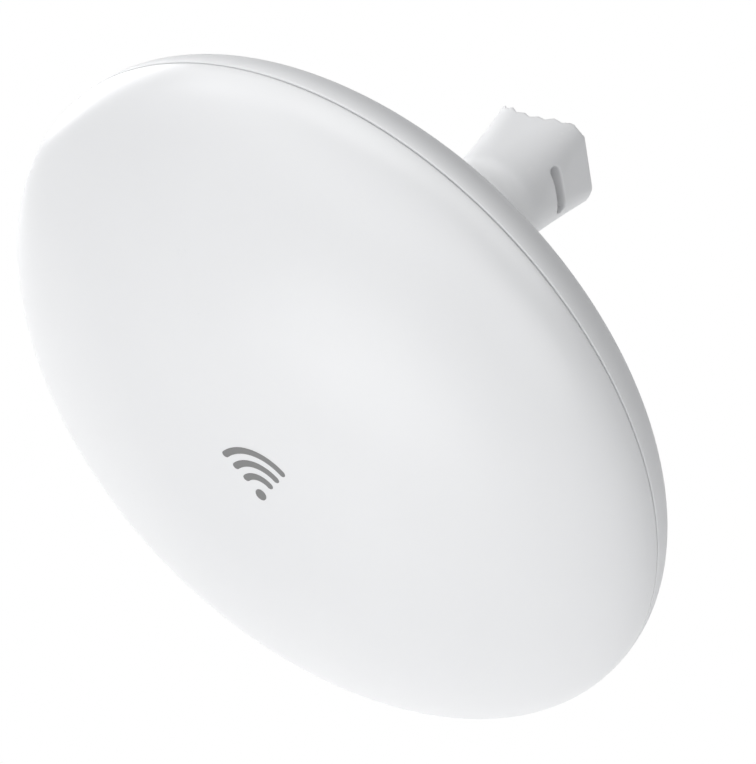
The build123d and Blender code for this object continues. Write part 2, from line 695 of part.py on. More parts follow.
# pole mount: ball, neck and toothed saddle in one moulding, with a slot for the steel strap
with BuildPart() as pole_mount:
    exit_depth = sqrt(ball_radius**2 - waist_radius**2)
    nearly_round = neck_radius - 0.01     # a rounded rectangle can't be a whole circle
    with BuildSketch(ball_section):
        with BuildLine():
            RadiusArc((0, ball_radius), (ball_radius, 0), ball_radius)
            RadiusArc((ball_radius, 0), (waist_radius, -exit_depth), ball_radius)
            Line((waist_radius, -exit_depth), (waist_radius, -waist_end))
            Bezier((waist_radius, -waist_end), (waist_radius, -waist_end - waist_lean),
                   (neck_radius - neck_lean[0], neck_lean[1] - neck_length), (neck_radius, -neck_length))
            Polyline((neck_radius, -neck_length), (0, -neck_length), (0, ball_radius))
        make_face()
    revolve(axis=neck_axis)
    with BuildSketch(Plane.XZ.offset(neck_round_ahead)):
        RectangleRounded(2 * neck_radius, 2 * neck_radius, nearly_round)
    with BuildSketch(Plane.XZ.offset(jaw_tip_ahead)):
        RectangleRounded(jaw_width, jaw_height, jaw_corner)
    loft()
    # the saddle's toothed hollow, cut along the pole
    half_angle = degrees(asin(jaw_width / 2 / saddle_radius)) + 1
    steps = 2 * tooth_count
    zigzag = []
    for i in range(steps + 1):
        turn = radians(half_angle * (2 * i / steps - 1))
        reach = saddle_radius + tooth_depth * (i % 2)
        zigzag.append((reach * sin(turn), saddle_radius - reach * cos(turn)))
    with BuildSketch(Plane.XY.offset(-jaw_height)):
        with BuildLine():
            Polyline(*zigzag, (jaw_width, saddle_radius), (-jaw_width, saddle_radius), close=True)
        make_face()
    extrude(amount=2 * jaw_height, mode=Mode.SUBTRACT)
    # two moulded pockets in the saddle, a rib between them
    with BuildSketch(Plane.XZ.offset(core_depth)):
        with Locations((-(rib_half + core_reach) / 2, 0), ((rib_half + core_reach) / 2, 0)):
            RectangleRounded(core_reach - rib_half, 2 * core_half_height, core_corner)
    extrude(amount=-2 * core_depth, mode=Mode.SUBTRACT)
    # the strap slot
    with BuildSketch(Plane.YZ.offset(-jaw_width)):
        with Locations((-strap_slot_ahead, 0)):
            SlotOverall(strap_slot_height, strap_slot_width, rotation=90)
    extrude(amount=2 * jaw_width, mode=Mode.SUBTRACT)
save(pole_mount, "pole_mount")
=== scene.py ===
import bpy
import bmesh
import json
from math import acos, asin, cos, degrees, hypot, pi, radians, sin, sqrt, tan
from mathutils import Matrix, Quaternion, Vector


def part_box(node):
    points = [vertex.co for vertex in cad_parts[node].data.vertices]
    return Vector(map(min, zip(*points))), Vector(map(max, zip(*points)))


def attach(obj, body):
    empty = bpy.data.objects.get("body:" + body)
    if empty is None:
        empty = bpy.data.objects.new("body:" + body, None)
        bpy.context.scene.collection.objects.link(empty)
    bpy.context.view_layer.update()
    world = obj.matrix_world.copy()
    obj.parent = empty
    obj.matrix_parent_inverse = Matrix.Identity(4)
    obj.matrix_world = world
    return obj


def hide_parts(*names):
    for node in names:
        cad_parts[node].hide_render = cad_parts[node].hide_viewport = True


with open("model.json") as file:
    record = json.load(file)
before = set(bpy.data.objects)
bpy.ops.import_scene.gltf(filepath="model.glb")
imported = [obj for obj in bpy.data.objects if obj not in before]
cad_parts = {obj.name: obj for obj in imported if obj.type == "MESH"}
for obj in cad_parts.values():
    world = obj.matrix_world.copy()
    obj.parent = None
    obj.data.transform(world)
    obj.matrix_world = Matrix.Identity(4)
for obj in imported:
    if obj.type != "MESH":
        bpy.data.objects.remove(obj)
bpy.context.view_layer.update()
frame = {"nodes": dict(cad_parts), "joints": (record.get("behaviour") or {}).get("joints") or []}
nodes = frame["nodes"]
mm = 0.001
print("frame loaded:", len(nodes), "nodes")


# places that the frame gives

def edge(node, axis, end):        # end 0 is the low side, 1 the high side
    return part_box(node)[end][axis]


seamGap = 0.7 * mm
seamY = edge("rear_shell", 1, 0) - seamGap / 2        # the plane between radome and rear shell
dishRadius = edge("front_radome", 0, 1)
dishZ = (edge("front_radome", 2, 0) + edge("front_radome", 2, 1)) / 2
seamFoot = 0.2        # the finished seam is finer: each side stops this near to its plane, in millimetres
housingBack = edge("rear_shell", 1, 1)
jointPlace = {joint["name"]: Vector(joint["pos_m"]) for joint in frame["joints"] if "pos_m" in joint}
ballY = jointPlace["pan"].y
wall = 2.4 * mm


# shapes

def millimetres(points):
    return [tuple(value * mm for value in point) for point in points]


def behindSeam(points):        # (across, depth behind the seam) in millimetres, to (across, y)
    return [(across * mm, seamY + depth * mm) for across, depth in points]


def bezier(a, b, c, d, count):        # a cubic curve's points, without the first
    steps = [k / count for k in range(1, count + 1)]
    return [tuple((1 - t)**3 * a[i] + 3 * t * (1 - t)**2 * b[i] + 3 * t * t * (1 - t) * c[i] + t**3 * d[i]
                  for i in (0, 1)) for t in steps]


def arc(radius, start, end, count, middle=(0, 0)):        # angles in degrees
    turns = [radians(start + (end - start) * k / count) for k in range(count + 1)]
    return [(middle[0] + radius * cos(turn), middle[1] + radius * sin(turn)) for turn in turns]


def softened(corners, steps=4):        # an outline with rounded corners, from (x, y, radius) or (x, y)
    outline = []
    for i, corner in enumerate(corners):
        here = Vector(corner[:2])
        before = Vector(corners[i - 1][:2]) - here
        after = Vector(corners[(i + 1) % len(corners)][:2]) - here
        if len(corner) == 2 or before.length == 0 or after.length == 0:
            outline.append(tuple(here))
            continue
        bend = before.angle(after)
        reach = min(corner[2] / tan(bend / 2), 0.48 * before.length, 0.48 * after.length)
        start, end = here + before.normalized() * reach, here + after.normalized() * reach
        pull = sin(bend / 2)
        for t in (k / steps for k in range(steps + 1)):
            shares = ((1 - t)**2, 2 * t * (1 - t) * pull, t * t)
            outline.append(tuple((start * shares[0] + here * shares[1] + end * shares[2]) / sum(shares)))
    return outline


def boxLoop(halfWidth, halfHeight, corner, count):        # a rounded box's edge, met by rays at even angles
    corner = min(corner, halfWidth, halfHeight)
    loop = []
    for turn in (2 * pi * k / count for k in range(count)):
        x, z = cos(turn), sin(turn)
        reach = min(halfWidth / max(abs(x), 1e-9), halfHeight / max(abs(z), 1e-9))
        away = Vector((halfWidth - corner, halfHeight - corner))
        if abs(x) * reach > away.x and abs(z) * reach > away.y:
            along = away.x * abs(x) + away.y * abs(z)
            reach = along + sqrt(max(0, along**2 - away.length_squared + corner**2))
        loop.append((reach * x, reach * z))
    return loop


def stitch(rings, closed=False, capped=False):        # a mesh through rings of points, a ring of one is a pole
    bm = bmesh.new()
    made = [[bm.verts.new(point) for point in ring] for ring in rings]
    for a, b in zip(made, made[1:] + made[:1] if closed else made[1:]):
        count = max(len(a), len(b))
        for k in range(count if len(a) + len(b) > 2 else 0):
            loop = [a[k % len(a)], a[(k + 1) % len(a)], b[(k + 1) % len(b)], b[k % len(b)]]
            bm.faces.new([vert for i, vert in enumerate(loop) if vert is not loop[i - 1]])
    if capped:
        for ring in (made[0], made[-1]):
            if len(ring) > 1:
                bm.faces.new(ring)
    return bm


def lathe(outline, y, z, segments):        # outline of (radius, distance ahead of y), turned round a line at z
    rings = []
    for radius, ahead in outline:
        turns = [2 * pi * k / segments for k in range(segments)] if radius > 1e-7 else [0]
        rings.append([(radius * cos(turn), y - ahead, z + radius * sin(turn)) for turn in turns])
    return stitch(rings, closed=True)


def prism(outline, axis, low, high, into=None):        # outline in the other two axes, in x, y, z order
    bm = into or bmesh.new()
    slot = "xyz".index(axis)
    ends = [[bm.verts.new((*point[:slot], level, *point[slot:])) for point in outline] for level in (low, high)]
    for k in range(len(outline)):
        bm.faces.new([ends[0][k - 1], ends[0][k], ends[1][k], ends[1][k - 1]])
    bm.faces.new(ends[0])
    bm.faces.new(ends[1])
    return bm


def linked(name, data):
    thing = bpy.data.objects.new(name, data)
    bpy.context.scene.collection.objects.link(thing)
    return thing


def meshFrom(name, bm):
    mesh = bpy.data.meshes.new(name)
    bm.to_mesh(mesh)
    bm.free()
    return mesh


def asObject(name, bm):
    bmesh.ops.remove_doubles(bm, verts=bm.verts, dist=1e-7)
    bmesh.ops.recalc_face_normals(bm, faces=bm.faces)
    return linked(name, meshFrom(name, bm))


def bakeModifiers(piece):        # the modifiers' result becomes the piece's own mesh
    graph = bpy.context.evaluated_depsgraph_get()
    old = piece.data
    piece.data = bpy.data.meshes.new_from_object(piece.evaluated_get(graph))
    piece.data.name = piece.name
    piece.modifiers.clear()
    bpy.data.meshes.remove(old)


def carve(piece, bm, operation="DIFFERENCE"):
    tool = asObject("tool", bm)
    carving = piece.modifiers.new("carving", "BOOLEAN")
    carving.object = tool
    carving.operation = operation
    carving.solver = "EXACT"
    bakeModifiers(piece)
    bpy.data.meshes.remove(tool.data)


def breakEdges(piece, chosen, width, segments=2, sharp=40):        # rounds the sharp edges that pass a test
    bm = bmesh.new()
    bm.from_mesh(piece.data)
    bmesh.ops.remove_doubles(bm, verts=bm.verts, dist=2e-6)
    bmesh.ops.dissolve_degenerate(bm, edges=bm.edges, dist=2e-6)
    edges = [e for e in bm.edges if len(e.link_faces) == 2 and e.calc_face_angle(0) > radians(sharp)
             and all(chosen(vert.co) for vert in e.verts)]
    bmesh.ops.bevel(bm, geom=edges, offset=width, segments=segments, profile=0.5,
                    affect="EDGES", clamp_overlap=True)
    bm.to_mesh(piece.data)
    bm.free()


def finishPiece(piece, material, body, replaced=(), sharp=38):
    mesh = piece.data
    mesh.shade_smooth()
    mesh.set_sharp_from_angle(angle=radians(sharp))
    if not mesh.materials:
        mesh.materials.append(finishes[material])
    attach(piece, body)
    if replaced:
        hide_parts(*replaced)
    return piece


# node trees

class Wire:        # one output in a node tree, which can be reckoned with

    def __init__(self, tree, socket):
        self.tree, self.socket = tree, socket

    def other(self, name):        # another output of the same node
        return Wire(self.tree, self.socket.node.outputs[name])

    def reckon(self, operation, *values):        # a Math node on any values, in this wire's tree
        node = self.tree.nodes.new("ShaderNodeMath")
        node.operation = operation
        for socket, value in zip(node.inputs, values):
            connect(self.tree, socket, value)
        return Wire(self.tree, node.outputs[0])

    def __add__(self, other):
        return self.reckon("ADD", self, other)

    def __radd__(self, other):
        return self.reckon("ADD", other, self)

    def __sub__(self, other):
        return self.reckon("SUBTRACT", self, other)

    def __rsub__(self, other):
        return self.reckon("SUBTRACT", other, self)

    def __mul__(self, other):
        return self.reckon("MULTIPLY", self, other)

    def __rmul__(self, other):
        return self.reckon("MULTIPLY", other, self)

    def __truediv__(self, other):
        return self.reckon("DIVIDE", self, other)

    def __pow__(self, other):
        return self.reckon("POWER", self, other)

    def __gt__(self, other):
        return self.reckon("GREATER_THAN", self, other)


def connect(tree, socket, value):
    if isinstance(value, Wire):
        tree.links.new(value.socket, socket)
    else:
        socket.default_value = value


class Bench:        # where a node tree is put together

    def __init__(self, tree):
        self.tree = tree

    def make(self, kind, settings=None, inputs=None, out=0):        # any node: its settings, then its inputs
        node = self.tree.nodes.new(kind)
        for name, value in (settings or {}).items():
            if name == "stops":
                ramp = node.color_ramp
                while len(ramp.elements) < len(value):
                    ramp.elements.new(0.5)
                for stop, (place, colour) in zip(ramp.elements, value):
                    stop.position, stop.color = place, colour
            else:
                setattr(node, name, value)
        for name, value in (inputs or {}).items():
            connect(self.tree, node.inputs[name], value)
        return Wire(self.tree, node.outputs[out]) if node.outputs else None

    def vector(self, x=0.0, y=0.0, z=0.0):
        return self.make("ShaderNodeCombineXYZ", None, {"X": x, "Y": y, "Z": z})

    def noise(self, place, scale, detail, roughness=0.5):
        return self.make("ShaderNodeTexNoise", None,
                         {"Vector": place, "Scale": scale, "Detail": detail, "Roughness": roughness})

    def bump(self, strength, depth, height):
        return self.make("ShaderNodeBump", None, {"Strength": strength, "Distance": depth, "Height": height})

    def between(self, value, low, high):        # 0 below low, 1 above high
        return self.make("ShaderNodeMapRange", {"clamp": True}, {0: value, 1: low, 2: high})

    def blend(self, share, a, b, mode="MIX"):        # colours
        return self.make("ShaderNodeMix", {"data_type": "RGBA", "blend_type": mode}, {0: share, 6: a, 7: b}, 2)


# finishes

def grey(value, tint=(0, 0, 0)):
    return (value + tint[0], value + tint[1], value + tint[2], 1)


def newFinish(name):
    material = bpy.data.materials.new(name)
    material.use_nodes = True
    material.node_tree.nodes.clear()
    return material, Bench(material.node_tree)


def closeFinish(bench, inputs):
    surface = bench.make("ShaderNodeBsdfPrincipled", None, inputs)
    bench.make("ShaderNodeOutputMaterial", None, {"Surface": surface})


def moulded(name, look):        # a moulded plastic: slow tone changes, fine grain, dust specks, painted shade in hollows, painted highlight on edges
    material, bench = newFinish(name)
    place = bench.make("ShaderNodeTexCoord", out="Object")
    tone = bench.noise(place, look["toneScale"], 3.0)
    smudge = bench.noise(place, look["smudgeScale"], 5.0, 0.62)
    grain = bench.noise(place, look["grainScale"], 2.0, 0.7)
    colour = bench.blend(bench.between(tone, 0.35, 0.65), look["darker"], look["paler"])
    speck = bench.make("ShaderNodeTexVoronoi", None, {"Vector": place, "Scale": look["speckScale"]})
    specks = 1 - bench.between(speck, *look["speckEdge"])
    colour = bench.blend(specks * look["speckShare"], colour, look["dustAndShade"])
    # painted shade in hollows and a painted highlight on sharp edges, for the plastics that take them
    if look["paintsShadeAndHighlight"]:
        curve = bench.make("ShaderNodeNewGeometry", out="Pointiness")
        # painted shade: hollows found by pointiness darken towards the dust colour
        hollow = 1 - bench.between(curve, *look["hollowEdge"])
        # painted highlight: sharp edges found by pointiness lighten towards the rim colour
        ridge = bench.between(curve, *look["ridgeEdge"])
        colour = bench.blend(hollow * look["hollowShadeShare"] * (0.5 + smudge), colour, look["dustAndShade"])
        colour = bench.blend(ridge * look["edgeHighlightShare"], colour, look["rim"])
    rough = look["roughness"] + (smudge - 0.5) * look["smudgeRough"] + (grain - 0.5) * look["grainRough"]
    bump = bench.bump(look["grainStrength"], look["grainDepth"], grain * 0.8 + smudge * 0.2)
    closeFinish(bench, {"Base Color": colour, "Roughness": rough, "Normal": bump, "IOR": look["ior"]})
    return material


def metal(name, look):        # a bare metal: lines round an axis or along one, with stains and fine grain
    material, bench = newFinish(name)
    place = bench.make("ShaderNodeTexCoord", out="Object")
    centred = bench.make("ShaderNodeMapping", None, {"Vector": place, "Location": look["centre"]})
    x = bench.make("ShaderNodeSeparateXYZ", None, {"Vector": centred})
    z = x.other("Z")
    reach = (x * x + z * z)**0.5 if look["lines"] == "round" else z
    marks = bench.noise(bench.vector(reach), look["lineScale"], 6.0, 0.75)
    stain = bench.noise(place, look["stainScale"], 5.0, 0.6)
    grain = bench.noise(place, look["grainScale"], 2.0, 0.6)
    colour = bench.blend(bench.between(stain, 0.4, 0.7) * look["stainShare"], look["bare"], look["stain"])
    colour = bench.blend(bench.between(marks, 0.55, 0.75) * look["lineShare"], colour, look["mark"])
    rough = look["roughness"] + (stain - 0.5) * look["stainRough"] + (marks - 0.5) * look["lineRough"]
    bump = bench.bump(look["strength"], look["depth"], marks + grain * 0.3)
    closeFinish(bench, {"Base Color": colour, "Roughness": rough, "Metallic": 1.0, "Normal": bump})
    return material


whiteMoulding = {
    "darker": grey(0.80, (0, 0.004, 0.014)),
    "paler": grey(0.83, (0, 0.004, 0.012)),
    # colour of the painted highlight on sharp edges
    "rim": grey(0.87),
    # colour of the dust specks, and of the painted shade in hollows
    "dustAndShade": grey(0.48, (0.02, 0.01, 0)),
    # whether hollows get painted shade and sharp edges a painted highlight
    "paintsShadeAndHighlight": True,
    # how strongly the hollows take the painted shade
    "hollowShadeShare": 0.10,
    "hollowEdge": (0.42, 0.495),
    # how strongly the sharp edges take the painted highlight
    "edgeHighlightShare": 0.3,
    "ridgeEdge": (0.505, 0.58),
    "speckShare": 0.10,
    "speckScale": 260.0,
    "speckEdge": (0.02, 0.06),
    "toneScale": 9.0,
    "smudgeScale": 45.0,
    "smudgeRough": 0.10,
    "grainScale": 2600.0,
    "grainRough": 0.05,
    "grainStrength": 0.10,
    "grainDepth": 0.00008,
    "roughness": 0.42,
    "ior": 1.46,
}
mouldings = {        # what each plastic changes in the white moulding
    "radomePlastic": {"roughness": 0.3, "grainStrength": 0.04, "hollowShadeShare": 0.04, "speckShare": 0.05},
    "shellPlastic": {"roughness": 0.46, "grainScale": 1900.0, "grainStrength": 0.16},
    "mountPlastic": {"roughness": 0.5, "grainScale": 1500.0, "grainStrength": 0.18, "hollowShadeShare": 0.16},
    "jointPlastic": {"darker": grey(0.77), "paler": grey(0.80), "roughness": 0.5, "grainStrength": 0.18,
                     "hollowShadeShare": 0.16},
    "seatPlastic": {"darker": (0.66, 0.655, 0.62, 1), "paler": (0.7, 0.695, 0.66, 1), "roughness": 0.34},
    "feedPlastic": {"darker": (0.7, 0.68, 0.6, 1), "paler": (0.74, 0.72, 0.65, 1), "paintsShadeAndHighlight": False,
                    "roughness": 0.4},
    "labelFilm": {"darker": grey(0.55), "paler": grey(0.59), "paintsShadeAndHighlight": False, "roughness": 0.3,
                  "grainStrength": 0.04},
    "sealRubber": {"darker": grey(0.013), "paler": grey(0.018), "paintsShadeAndHighlight": False, "dustAndShade": grey(0.1),
                   "roughness": 0.75, "grainStrength": 0.25},
    "chipBlack": {"darker": grey(0.012), "paler": grey(0.018), "paintsShadeAndHighlight": False, "dustAndShade": grey(0.06),
                  "roughness": 0.55, "grainStrength": 0.3, "grainScale": 4000.0},
    "buttonGrey": {"darker": grey(0.2), "paler": grey(0.23), "paintsShadeAndHighlight": False, "dustAndShade": grey(0.1),
                   "roughness": 0.5},
}
bareMetal = {
    "bare": grey(0.74, (0, 0.005, 0.012)),
    "stain": grey(0.6),
    "mark": grey(0.84),
    "stainShare": 0.35,
    "stainScale": 40.0,
    "stainRough": 0.16,
    "lines": "along",
    "lineShare": 0.4,
    "lineScale": 900.0,
    "lineRough": 0.25,
    "grainScale": 1800.0,
    "roughness": 0.32,
    "strength": 0.2,
    "depth": 0.00006,
    "centre": (0, 0, -dishZ),
}
metals = {        # what each metal changes in the bare one
    "spunAluminium": {"lines": "round"},
    "feedMetal": {"roughness": 0.36, "lineShare": 0.2},
    "screwSteel": {"bare": grey(0.58, (0, 0, 0.01)), "stain": grey(0.42), "roughness": 0.36,
                   "stainScale": 400.0},
    "jackMetal": {"bare": grey(0.66), "stain": (0.55, 0.53, 0.5, 1), "roughness": 0.3, "stainScale": 160.0},
    "contactGold": {"bare": (0.83, 0.62, 0.22, 1), "stain": (0.7, 0.48, 0.16, 1), "mark": (0.9, 0.72, 0.32, 1),
                    "roughness": 0.22},
}
board = {
    "mask": ((0.012, 0.11, 0.045, 1), (0.02, 0.15, 0.06, 1)),
    "track": (0.03, 0.2, 0.085, 1),
    "pad": (0.62, 0.6, 0.54, 1),
    "trackScale": 210.0,
    "padScale": 420.0,
    "padEdge": (0.10, 0.14),
    "weaveScale": 1400.0,
}
clear = {
    "tones": ((0.72, 0.76, 0.78, 1), (0.84, 0.87, 0.88, 1)),
    "hazeScale": 300.0,
    "through": 0.6,
    "ior": 1.49,
}


def boardFinish(name, look):        # green solder mask over copper tracks, with bare pads
    material, bench = newFinish(name)
    place = bench.make("ShaderNodeTexCoord", out="Object")
    flat = bench.make("ShaderNodeMapping", None, {"Vector": place, "Scale": (1, 0, 1)})
    tracks = bench.make("ShaderNodeTexBrick", {"offset": 0.37, "squash": 1.6, "squash_frequency": 3},
                        {"Vector": place, "Scale": look["trackScale"], "Mortar Size": 0.06, "Color1": grey(1),
                         "Color2": grey(1), "Mortar": grey(0)})
    cells = bench.make("ShaderNodeTexVoronoi", {"feature": "F1"}, {"Vector": flat, "Scale": look["padScale"]})
    pads = 1 - bench.between(cells, *look["padEdge"])
    weave = bench.noise(flat, look["weaveScale"], 2.0)
    green = bench.blend(tracks, look["track"], bench.blend(weave, *look["mask"]))
    colour = bench.blend(pads * 0.8, green, look["pad"])
    bump = bench.bump(0.35, 0.00004, pads + tracks * -0.6 + weave * 0.2)
    closeFinish(bench, {"Base Color": colour, "Roughness": 0.3 + weave * 0.15, "Metallic": pads * 0.7,
                        "Normal": bump})
    return material


def clearFinish(name, look):
    material, bench = newFinish(name)
    haze = bench.noise(bench.make("ShaderNodeTexCoord", out="Object"), look["hazeScale"], 3.0)
    closeFinish(bench, {"Base Color": bench.blend(haze, *look["tones"]), "Roughness": 0.1 + haze * 0.12,
                        "Normal": bench.bump(0.08, 0.00004, haze), "Transmission Weight": look["through"],
                        "IOR": look["ior"]})
    return material


finishes = {name: moulded(name, {**whiteMoulding, **change}) for name, change in mouldings.items()}
finishes.update({name: metal(name, {**bareMetal, **change}) for name, change in metals.items()})
finishes["circuitBoard"] = boardFinish("circuitBoard", board)
finishes["clearPlastic"] = clearFinish("clearPlastic", clear)
print("finishes mixed")


# radome

radome = {
    "ridgeRadius": 30.0,        # the low ring round the hollow centre
    "ridgeHeight": 30.3,
    "centreHeight": 29.3,
    "hollowPull": (0.45, 0.6),        # where the hollow's curve leaves the middle and meets the ring
    "shoulderReach": 24.5,
    "shoulderHeight": 17.0,
    "rimRound": 0.3,
    "tongue": (91.9, 89.8),        # outer and inner radius
    "tongueBack": 2.0,
    "tongueFront": 4.5,
    "tongueRound": 0.3,
    "steps": (66, 36),        # outside and inside
    "segments": 320,
}


def domeCurve(radome, radius, inset, count):        # from the middle of the dome out to its edge
    height = radome["ridgeHeight"] - inset
    ridge = (radome["ridgeRadius"], height)
    middle = (0, radome["centreHeight"] - inset)
    leave, meet = radome["hollowPull"]
    hollow = bezier(middle, (ridge[0] * leave, middle[1]), (ridge[0] * meet, height), ridge, count // 3)
    reach = ridge[0] + radome["shoulderReach"] - inset
    foot = radome["tongueFront"] if inset else seamFoot
    rise = (radius, radome["shoulderHeight"] - inset)
    return [middle] + hollow + bezier(ridge, (reach, height), rise, (radius, foot), count)


def buildRadome(radome):
    radius = dishRadius / mm
    outer, inner = radome["tongue"]
    outside, inside = radome["steps"]
    low, high, soft = -radome["tongueBack"], radome["tongueFront"], radome["tongueRound"]
    rim = softened([(radius, 3.0), (radius, seamFoot, radome["rimRound"]), (outer, seamFoot, 0.2),
                    (outer, low, soft), (inner, low, soft), (inner, high)], 5)[1:-1]
    clearOfRim = seamFoot + 1.2 * radome["rimRound"]
    outline = [point for point in domeCurve(radome, radius, 0, outside)[:-1] if point[1] > clearOfRim]
    outline += rim + domeCurve(radome, inner, wall / mm, inside)[::-1]
    piece = asObject("radomeShell", lathe(millimetres(outline), seamY, dishZ, radome["segments"]))
    return finishPiece(piece, "radomePlastic", "antenna", ["front_radome"])


buildRadome(radome)


# mark in the hollow: three arcs over a dot, the plain sign for a radio link

mark = {
    "dotRadius": 1.6,
    "arcRadii": (5.3, 9.1, 12.9),
    "arcWidth": 1.9,
    "halfAngle": 42.0,
    "base": -7.8,        # the dot's height against the dish's middle
    "thickness": 0.06,
    "sunk": 0.2,        # how far the pads reach into the dome
    "arcSteps": (12, 4),        # at the least, and per millimetre of radius
    "dotSteps": 6,
    "roundCap": 7,
    "capTip": 0.04,
}


def buildMark(mark, radome):
    curve = domeCurve(radome, dishRadius / mm, 0, radome["steps"][0])

    def front(x, z):        # the dome's height at a place on it
        reach = hypot(x, z)
        for (a, low), (b, high) in zip(curve, curve[1:]):
            if a <= reach <= b:
                return low + (high - low) * (reach - a) / max(b - a, 1e-9)

    def pad(bm, grid):        # a thin pad over rows of (x, z), lying on the dome
        low, top = layers = [[[bm.verts.new((x * mm, seamY - (front(x, z) + lift) * mm, dishZ + z * mm))
                               for x, z in row] for row in grid] for lift in (-mark["sunk"], mark["thickness"])]
        rows, columns = len(grid), len(grid[0])
        for i in range(rows - 1):
            for k in range(columns - 1):
                for layer in layers:
                    bm.faces.new([layer[i][k], layer[i + 1][k], layer[i + 1][k + 1], layer[i][k + 1]])
        rim = [(i, 0) for i in range(rows)] + [(rows - 1, k) for k in range(1, columns)]
        rim += [(i, columns - 1) for i in range(rows - 2, -1, -1)] + [(0, k) for k in range(columns - 2, 0, -1)]
        for (a, b), (c, d) in zip(rim, rim[1:] + rim[:1]):
            bm.faces.new([low[a][b], low[c][d], top[c][d], top[a][b]])

    def band(radius):        # rows across an arc, whose ends round off
        cap, span, half = mark["roundCap"], radians(mark["halfAngle"]), mark["arcWidth"] / 2
        least, more = mark["arcSteps"]
        count = int(least + radius * more)
        rows = []
        for i in range(-cap, count + cap + 1):
            over = max(-i, i - count, 0) / cap        # past the arc's end
            turn = span * (2 * min(max(i, 0), count) / count - 1)
            turn += (1 if i > count else -1) * sin(over * pi / 2) * half / radius if over else 0
            width = half * max(cos(over * pi / 2), mark["capTip"])
            reaches = [radius + side * width for side in (-1, -0.5, 0, 0.5, 1)]
            rows.append([(reach * sin(turn), mark["base"] + reach * cos(turn)) for reach in reaches])
        return rows

    bm = bmesh.new()
    for radius in mark["arcRadii"]:
        pad(bm, band(radius))
    size, steps = mark["dotRadius"], mark["dotSteps"]
    places = [k / steps - 1 for k in range(2 * steps + 1)]
    pad(bm, [[(size * x * sqrt(1 - z * z / 2), mark["base"] + size * z * sqrt(1 - x * x / 2)) for x in places]
             for z in places])
    return finishPiece(asObject("radomeMark", bm), "buttonGrey", "antenna")


buildMark(mark, radome)
print("radome and mark made")


# rear shell: skirt, bowl and housing in one skin, then everything that is cut into it

shell = {
    "skirt": ((94.5, 7.5), (88.5, 13.5), (78.0, 17.5)),        # radius and depth behind the seam
    "bowl": ((64.0, 22.8), (45.0, 27.5), (0.0, 27.5)),
    "seamRound": 0.3,
    "housingWidth": 72.0,
    "housingTop": 35.0,        # against the neck's axis
    "housingBottom": -70.0,
    "housingCorner": 24.0,
    "draft": 4.0,
    "backRound": 5.0,
    "rootRound": 4.5,        # the hollow between bowl and housing
    "footDepth": 26.0,        # where the housing's outline meets the bowl
    "count": 320,
}
housingDepth = (housingBack - seamY) / mm
housingMiddle = (shell["housingTop"] + shell["housingBottom"]) / 2
bowlCurve = [shell["skirt"][-1]] + bezier(shell["skirt"][-1], *shell["bowl"], 60)


def bowlDepth(reach):
    for (a, high), (b, low) in zip(bowlCurve, bowlCurve[1:]):
        if b <= reach <= a:
            return high + (low - high) * (a - reach) / max(a - b, 1e-9)
    return shell["skirt"][-1][1]


def housingLoop(shell, depth, grow):        # the housing's outline at a depth, grown by grow
    spread = grow + (housingDepth - depth) * tan(radians(shell["draft"]))
    halfHeight = (shell["housingTop"] - shell["housingBottom"]) / 2
    return boxLoop(shell["housingWidth"] / 2 + spread, halfHeight + spread, shell["housingCorner"] + spread,
                   shell["count"])


def housingRings(shell, firstDepth):        # the drafted wall, the rounded edge and the flat back
    edgeRound = shell["backRound"]
    stages = [(firstDepth + (housingDepth - edgeRound - firstDepth) * k / 4, 0) for k in range(5)]
    stages += [(housingDepth - edgeRound + edgeRound * sin(t), -edgeRound * (1 - cos(t)))
               for t in (pi / 2 * k / 10 for k in range(1, 11))]
    stages += [(housingDepth, -edgeRound - 0.5)]
    return [[(x * mm, seamY + depth * mm, (z + housingMiddle) * mm) for x, z in housingLoop(shell, depth, grow)]
            for depth, grow in stages]


def skirtRings(shell, curve, middle):
    count = shell["count"]
    around = [(cos(2 * pi * k / count), sin(2 * pi * k / count)) for k in range(count)]
    return [[(x * reach, depth, middle + z * reach) for x, z in around] for reach, depth in curve]


def rootRings(shell, wide, middle):        # over the bowl to the housing's foot, and the hollow round its root

    def onBowl(x, z):
        return (x, bowlDepth(hypot(x, z - middle)), z)

    def foot(grow):
        return [(x, z + housingMiddle) for x, z in housingLoop(shell, shell["footDepth"], grow)]

    outline, grown = foot(0), foot(shell["rootRound"])
    rings = [[onBowl(a[0] + (b[0] - a[0]) * step, a[2] + (b[1] - a[2]) * step) for a, b in zip(wide, grown)]
             for step in (k / 14 for k in range(1, 15))]
    wallTop = [onBowl(*point)[1] + shell["rootRound"] for point in outline]
    for t in (k / 8 for k in range(1, 9)):
        shares = ((1 - t)**2, 1.414 * t * (1 - t), t * t)
        rings.append([])
        for outer, inner, top in zip(grown, outline, wallTop):
            a, b, c = Vector(onBowl(*outer)), Vector((inner[0], top, inner[1])), Vector(onBowl(*inner))
            rings[-1].append(tuple((a * shares[0] + c * shares[1] + b * shares[2]) / sum(shares)))
    return rings, max(wallTop)


def shellSkin(shell):
    radius, middle, soft = dishRadius / mm, dishZ / mm, shell["seamRound"]
    curve = [(radius - soft * (1 - sin(t)), seamFoot + soft * (1 - cos(t)))
             for t in (pi / 2 * k / 5 for k in range(6))]
    curve += bezier((radius, seamFoot + soft), *shell["skirt"], 22)
    rings = skirtRings(shell, curve, middle)
    roots, highest = rootRings(shell, rings[-1], middle)
    rings = [[(x * mm, seamY + depth * mm, z * mm) for x, depth, z in ring] for ring in rings + roots]
    return stitch(rings + housingRings(shell, highest + 0.3), capped=True)


def slab(outline, nearer, deeper, into=None):        # cut along y, outline of (x, z) in millimetres
    return prism(millimetres(outline), "y", seamY + nearer * mm, seamY + deeper * mm, into)


